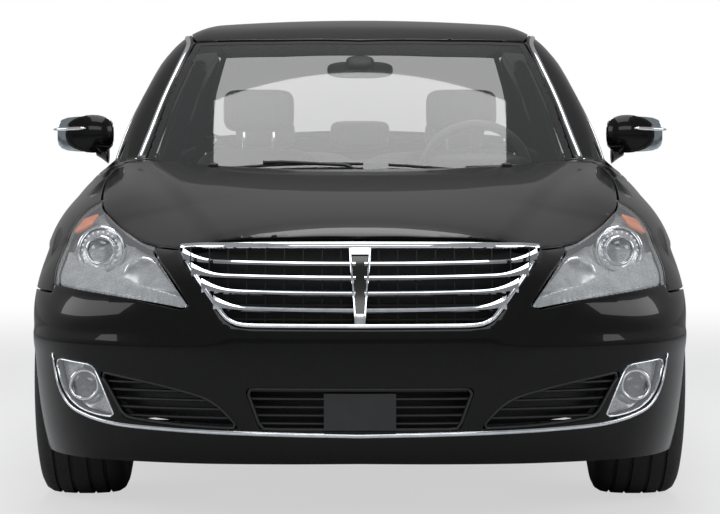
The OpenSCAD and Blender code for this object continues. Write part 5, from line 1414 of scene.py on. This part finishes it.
low, high = (np.array(c) * 1000 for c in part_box("interior_mirror"))
mirror_body = pod((0, -318, 1290), (226, 34, 58), (1, 1), 0, 3, 3.2)
mirror_piece = finish_piece(mirror_body, "cabin_mirror", "car_body", black_plastic)
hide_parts("interior_mirror")
mirror_face = pod((0, -299, 1290), (204, 5, 46), (1, 1), 0, 2, 4)
finish_piece(mirror_face, "cabin_mirror_glass", "car_body", mirror_glass)
stalk = rod([(0, -330, 1294), (0, -352, 1312), (0, -384, 1322)], 9)
finish_piece(stalk, "cabin_mirror_stalk", "car_body", black_plastic)
sensor = pod((0, -396, 1312), (96, 74, 30), (1, 1), 0, 2, 3)
bmesh.ops.rotate(sensor, verts=sensor.verts[:], cent=(0, -0.396, 1.312),
                 matrix=Matrix.Rotation(math.radians(29), 3, "X"))
finish_piece(sensor, "sensor_pod", "car_body", black_plastic)

# %% Dashboard details: two instrument hoods
details = [pod((387, -742, 968), (330, 190, 66), (1, 1), 0, 3, 3),
           pod((0, -790, 962), (300, 150, 40), (1, 1), 0, 3, 3.4)]
finish_piece(join(details), "instrument_hoods", "car_body", dash_vinyl)

# %% [markdown]
# ## Finishes for the solids that stay
# What lies under the car, in the wheel arches and behind the glass keeps its solid's exact
# shape and takes a finish of its own: underseal, cast iron, stainless steel, vinyl or carpet.

# %% Finishes by node
KEPT = {"floor_pan": underseal, "side_frames": gloss_plastic, "cowl": black_plastic, "dashboard": dash_vinyl,
        "engine": iron_engine, "radiator": cast_iron, "front_suspension": cast_iron,
        "rear_suspension": cast_iron, "exhaust_and_drive_shaft": exhaust_steel,
        "steering_wheel": leather_hide, "knuckle_left": cast_iron, "knuckle_right": cast_iron}
for node, material in KEPT.items():
    mesh = nodes[node].data
    for index in range(max(1, len(mesh.materials))):
        if index < len(mesh.materials):
            mesh.materials[index] = material
        else:
            mesh.materials.append(material)
for side, flip in SIDES:
    tips = [spun([(30, 0), (38, 0), (41, -6), (41, -100), (37, -100), (37, -8)], (430, 2506, 150), (0, 1, 0))]
    tip = flipped(join(tips), flip)
    finish_piece(tip, f"exhaust_tip_{side}", "car_body", chrome)

# %% Wheel arch liners: a black half tunnel over each wheel, wide enough for a steered tyre
def arch_liner(axle_y, x_in, x_out, radius):
    bm = bmesh.new()
    profile = [(x_out, radius), (x_out - 14, radius + 5), (x_in + 30, radius + 5), (x_in, radius - 6)]
    down = math.radians(12)
    verts = [bm.verts.new((x, axle_y + r * math.cos(down), WHEEL_Z - r * math.sin(down)))
             for x, r in profile]
    edges = [bm.edges.new(p) for p in zip(verts[:-1], verts[1:])]
    bmesh.ops.spin(bm, geom=verts + edges, cent=(0, axle_y, WHEEL_Z), axis=(1, 0, 0),
                   angle=math.radians(204), steps=48)
    bmesh.ops.recalc_face_normals(bm, faces=bm.faces[:])
    to_metres(bm)
    return bm

for side, flip in SIDES:
    for which, axle_y, radius in (("front", FRONT_AXLE, 432), ("rear", REAR_AXLE, 392)):
        liner = flipped(arch_liner(axle_y, 560, 880, radius), flip)
        finish_piece(liner, f"{which}_arch_liner_{side}", "car_body", black_plastic)

# %% Rear valance and its reflectors
valance_edge = both(seam(BACK, [(0, 190), (640, 190), (700, 262), (560, 300), (0, 304)], 20))
finish_piece(skin_mesh("valance", TAIL_FAN, valance_edge, step=18, gap=0, hem=4, lift=2.5), "rear_valance",
             "car_body", black_plastic)
for side, flip in SIDES:
    reflector_edge = closed(BACK, [(560, 330), (740, 338), (740, 364), (560, 354)], 9)
    reflector = skin_mesh("reflector", TAIL_FAN, reflector_edge, step=10, gap=0, hem=3, lift=3,
                          mirror_x=flip)
    finish_piece(reflector, f"rear_reflector_{side}", "car_body", red_reflector)

# %% [markdown]
# ## Camera, floor and light
# The camera stands seven metres in front of the car at about chest height with a long lens, so
# the front is nearly undistorted. The floor is plain and pale. Soft lamps stand over and beside
# the car as in a studio, and the white room shows in the paint and the chrome.

# %% Camera and floor
camera_data = bpy.data.cameras.new("camera")
camera_data.lens, camera_data.sensor_width = 134.1, 36
camera_data.clip_end = 200
camera = bpy.data.objects.new("camera", camera_data)
camera.location = (0, -9.58, 0.98)
camera.rotation_euler = (math.radians(90 - 2.072), 0, 0)
bpy.context.scene.collection.objects.link(camera)
bpy.context.scene.camera = camera

floor_bm = bmesh.new()
bmesh.ops.create_grid(floor_bm, x_segments=1, y_segments=1, size=60)
floor_mesh = bpy.data.meshes.new("floor")
floor_bm.to_mesh(floor_mesh)
floor_bm.free()
floor = bpy.data.objects.new("floor", floor_mesh)
bpy.context.scene.collection.objects.link(floor)

def stage_white(name, shade):
    """Pale matt floor that the camera sees as white, also through glass, where no shadow falls."""
    material = bpy.data.materials.new(name)
    material.use_nodes = True
    tree = material.node_tree
    tree.nodes.clear()
    matt = add(tree, "ShaderNodeBsdfDiffuse", sockets={"Color": linear(shade)})
    path = add(tree, "ShaderNodeLightPath").outputs
    seen = add(tree, "ShaderNodeMath", {"operation": "MAXIMUM"})
    tree.links.new(path["Is Camera Ray"], seen.inputs[0])
    tree.links.new(path["Is Transmission Ray"], seen.inputs[1])
    # Far from the car the floor fades into the white room, so that there is no horizon
    where = add(tree, "ShaderNodeTexCoord").outputs["Object"]
    far = add(tree, "ShaderNodeVectorMath", {"operation": "LENGTH"}, {0: where})
    fade = add(tree, "ShaderNodeMapRange", {"interpolation_type": "SMOOTHSTEP"},
               {"Value": far.outputs["Value"]},
               {"From Min": 2.5, "From Max": 9.0, "To Min": 0.6, "To Max": 1.0})
    part = add(tree, "ShaderNodeMath", {"operation": "MULTIPLY"},
               {0: seen.outputs[0], 1: fade.outputs["Result"]})
    glow = add(tree, "ShaderNodeEmission", sockets={"Color": (1, 1, 1, 1), "Strength": 1.0})
    both_parts = add(tree, "ShaderNodeMixShader", links={0: part.outputs[0], 1: matt.outputs[0],
                                                        2: glow.outputs[0]})
    add(tree, "ShaderNodeOutputMaterial", links={"Surface": both_parts.outputs[0]})
    return material

floor_mesh.materials.append(stage_white("studio_floor", "#c4c5c7"))

# %% World and lamps
world = bpy.data.worlds.new("studio")
bpy.context.scene.world = world
world.use_nodes = True
tree = world.node_tree
tree.nodes.clear()
path = add(tree, "ShaderNodeLightPath").outputs
seen = add(tree, "ShaderNodeMath", {"operation": "MAXIMUM"})
tree.links.new(path["Is Camera Ray"], seen.inputs[0])
tree.links.new(path["Is Transmission Ray"], seen.inputs[1])
room = add(tree, "ShaderNodeBackground", sockets={"Color": (1, 1, 1, 1), "Strength": 0.36})
white = add(tree, "ShaderNodeBackground", sockets={"Color": (1, 1, 1, 1), "Strength": 1.0})
mixed = add(tree, "ShaderNodeMixShader", links={0: seen.outputs[0], 1: room.outputs[0],
                                               2: white.outputs[0]})
add(tree, "ShaderNodeOutputWorld", links={"Surface": mixed.outputs[0]})

def soft_box(name, place, aim, size, power):
    lamp = bpy.data.lights.new(name, "AREA")
    lamp.shape, lamp.size, lamp.size_y, lamp.energy = "RECTANGLE", size[0], size[1], power
    stand = bpy.data.objects.new(name, lamp)
    stand.location = place
    stand.rotation_euler = (Vector(aim) - Vector(place)).to_track_quat("-Z", "Y").to_euler()
    bpy.context.scene.collection.objects.link(stand)

soft_box("overhead", (0, -1.0, 5.5), (0, -0.6, 0), (3.0, 7.0), 260)
soft_box("left_wall", (6.5, -2.0, 3.0), (0, -1.0, 0.6), (6.0, 2.2), 150)
soft_box("right_wall", (-6.5, -2.0, 3.0), (0, -1.0, 0.6), (6.0, 2.2), 150)
soft_box("front_fill", (0, -12.0, 4.2), (0, -2.0, 0.6), (7.0, 2.5), 200)
bpy.context.scene.view_settings.view_transform = "Standard"
print("stage ready")
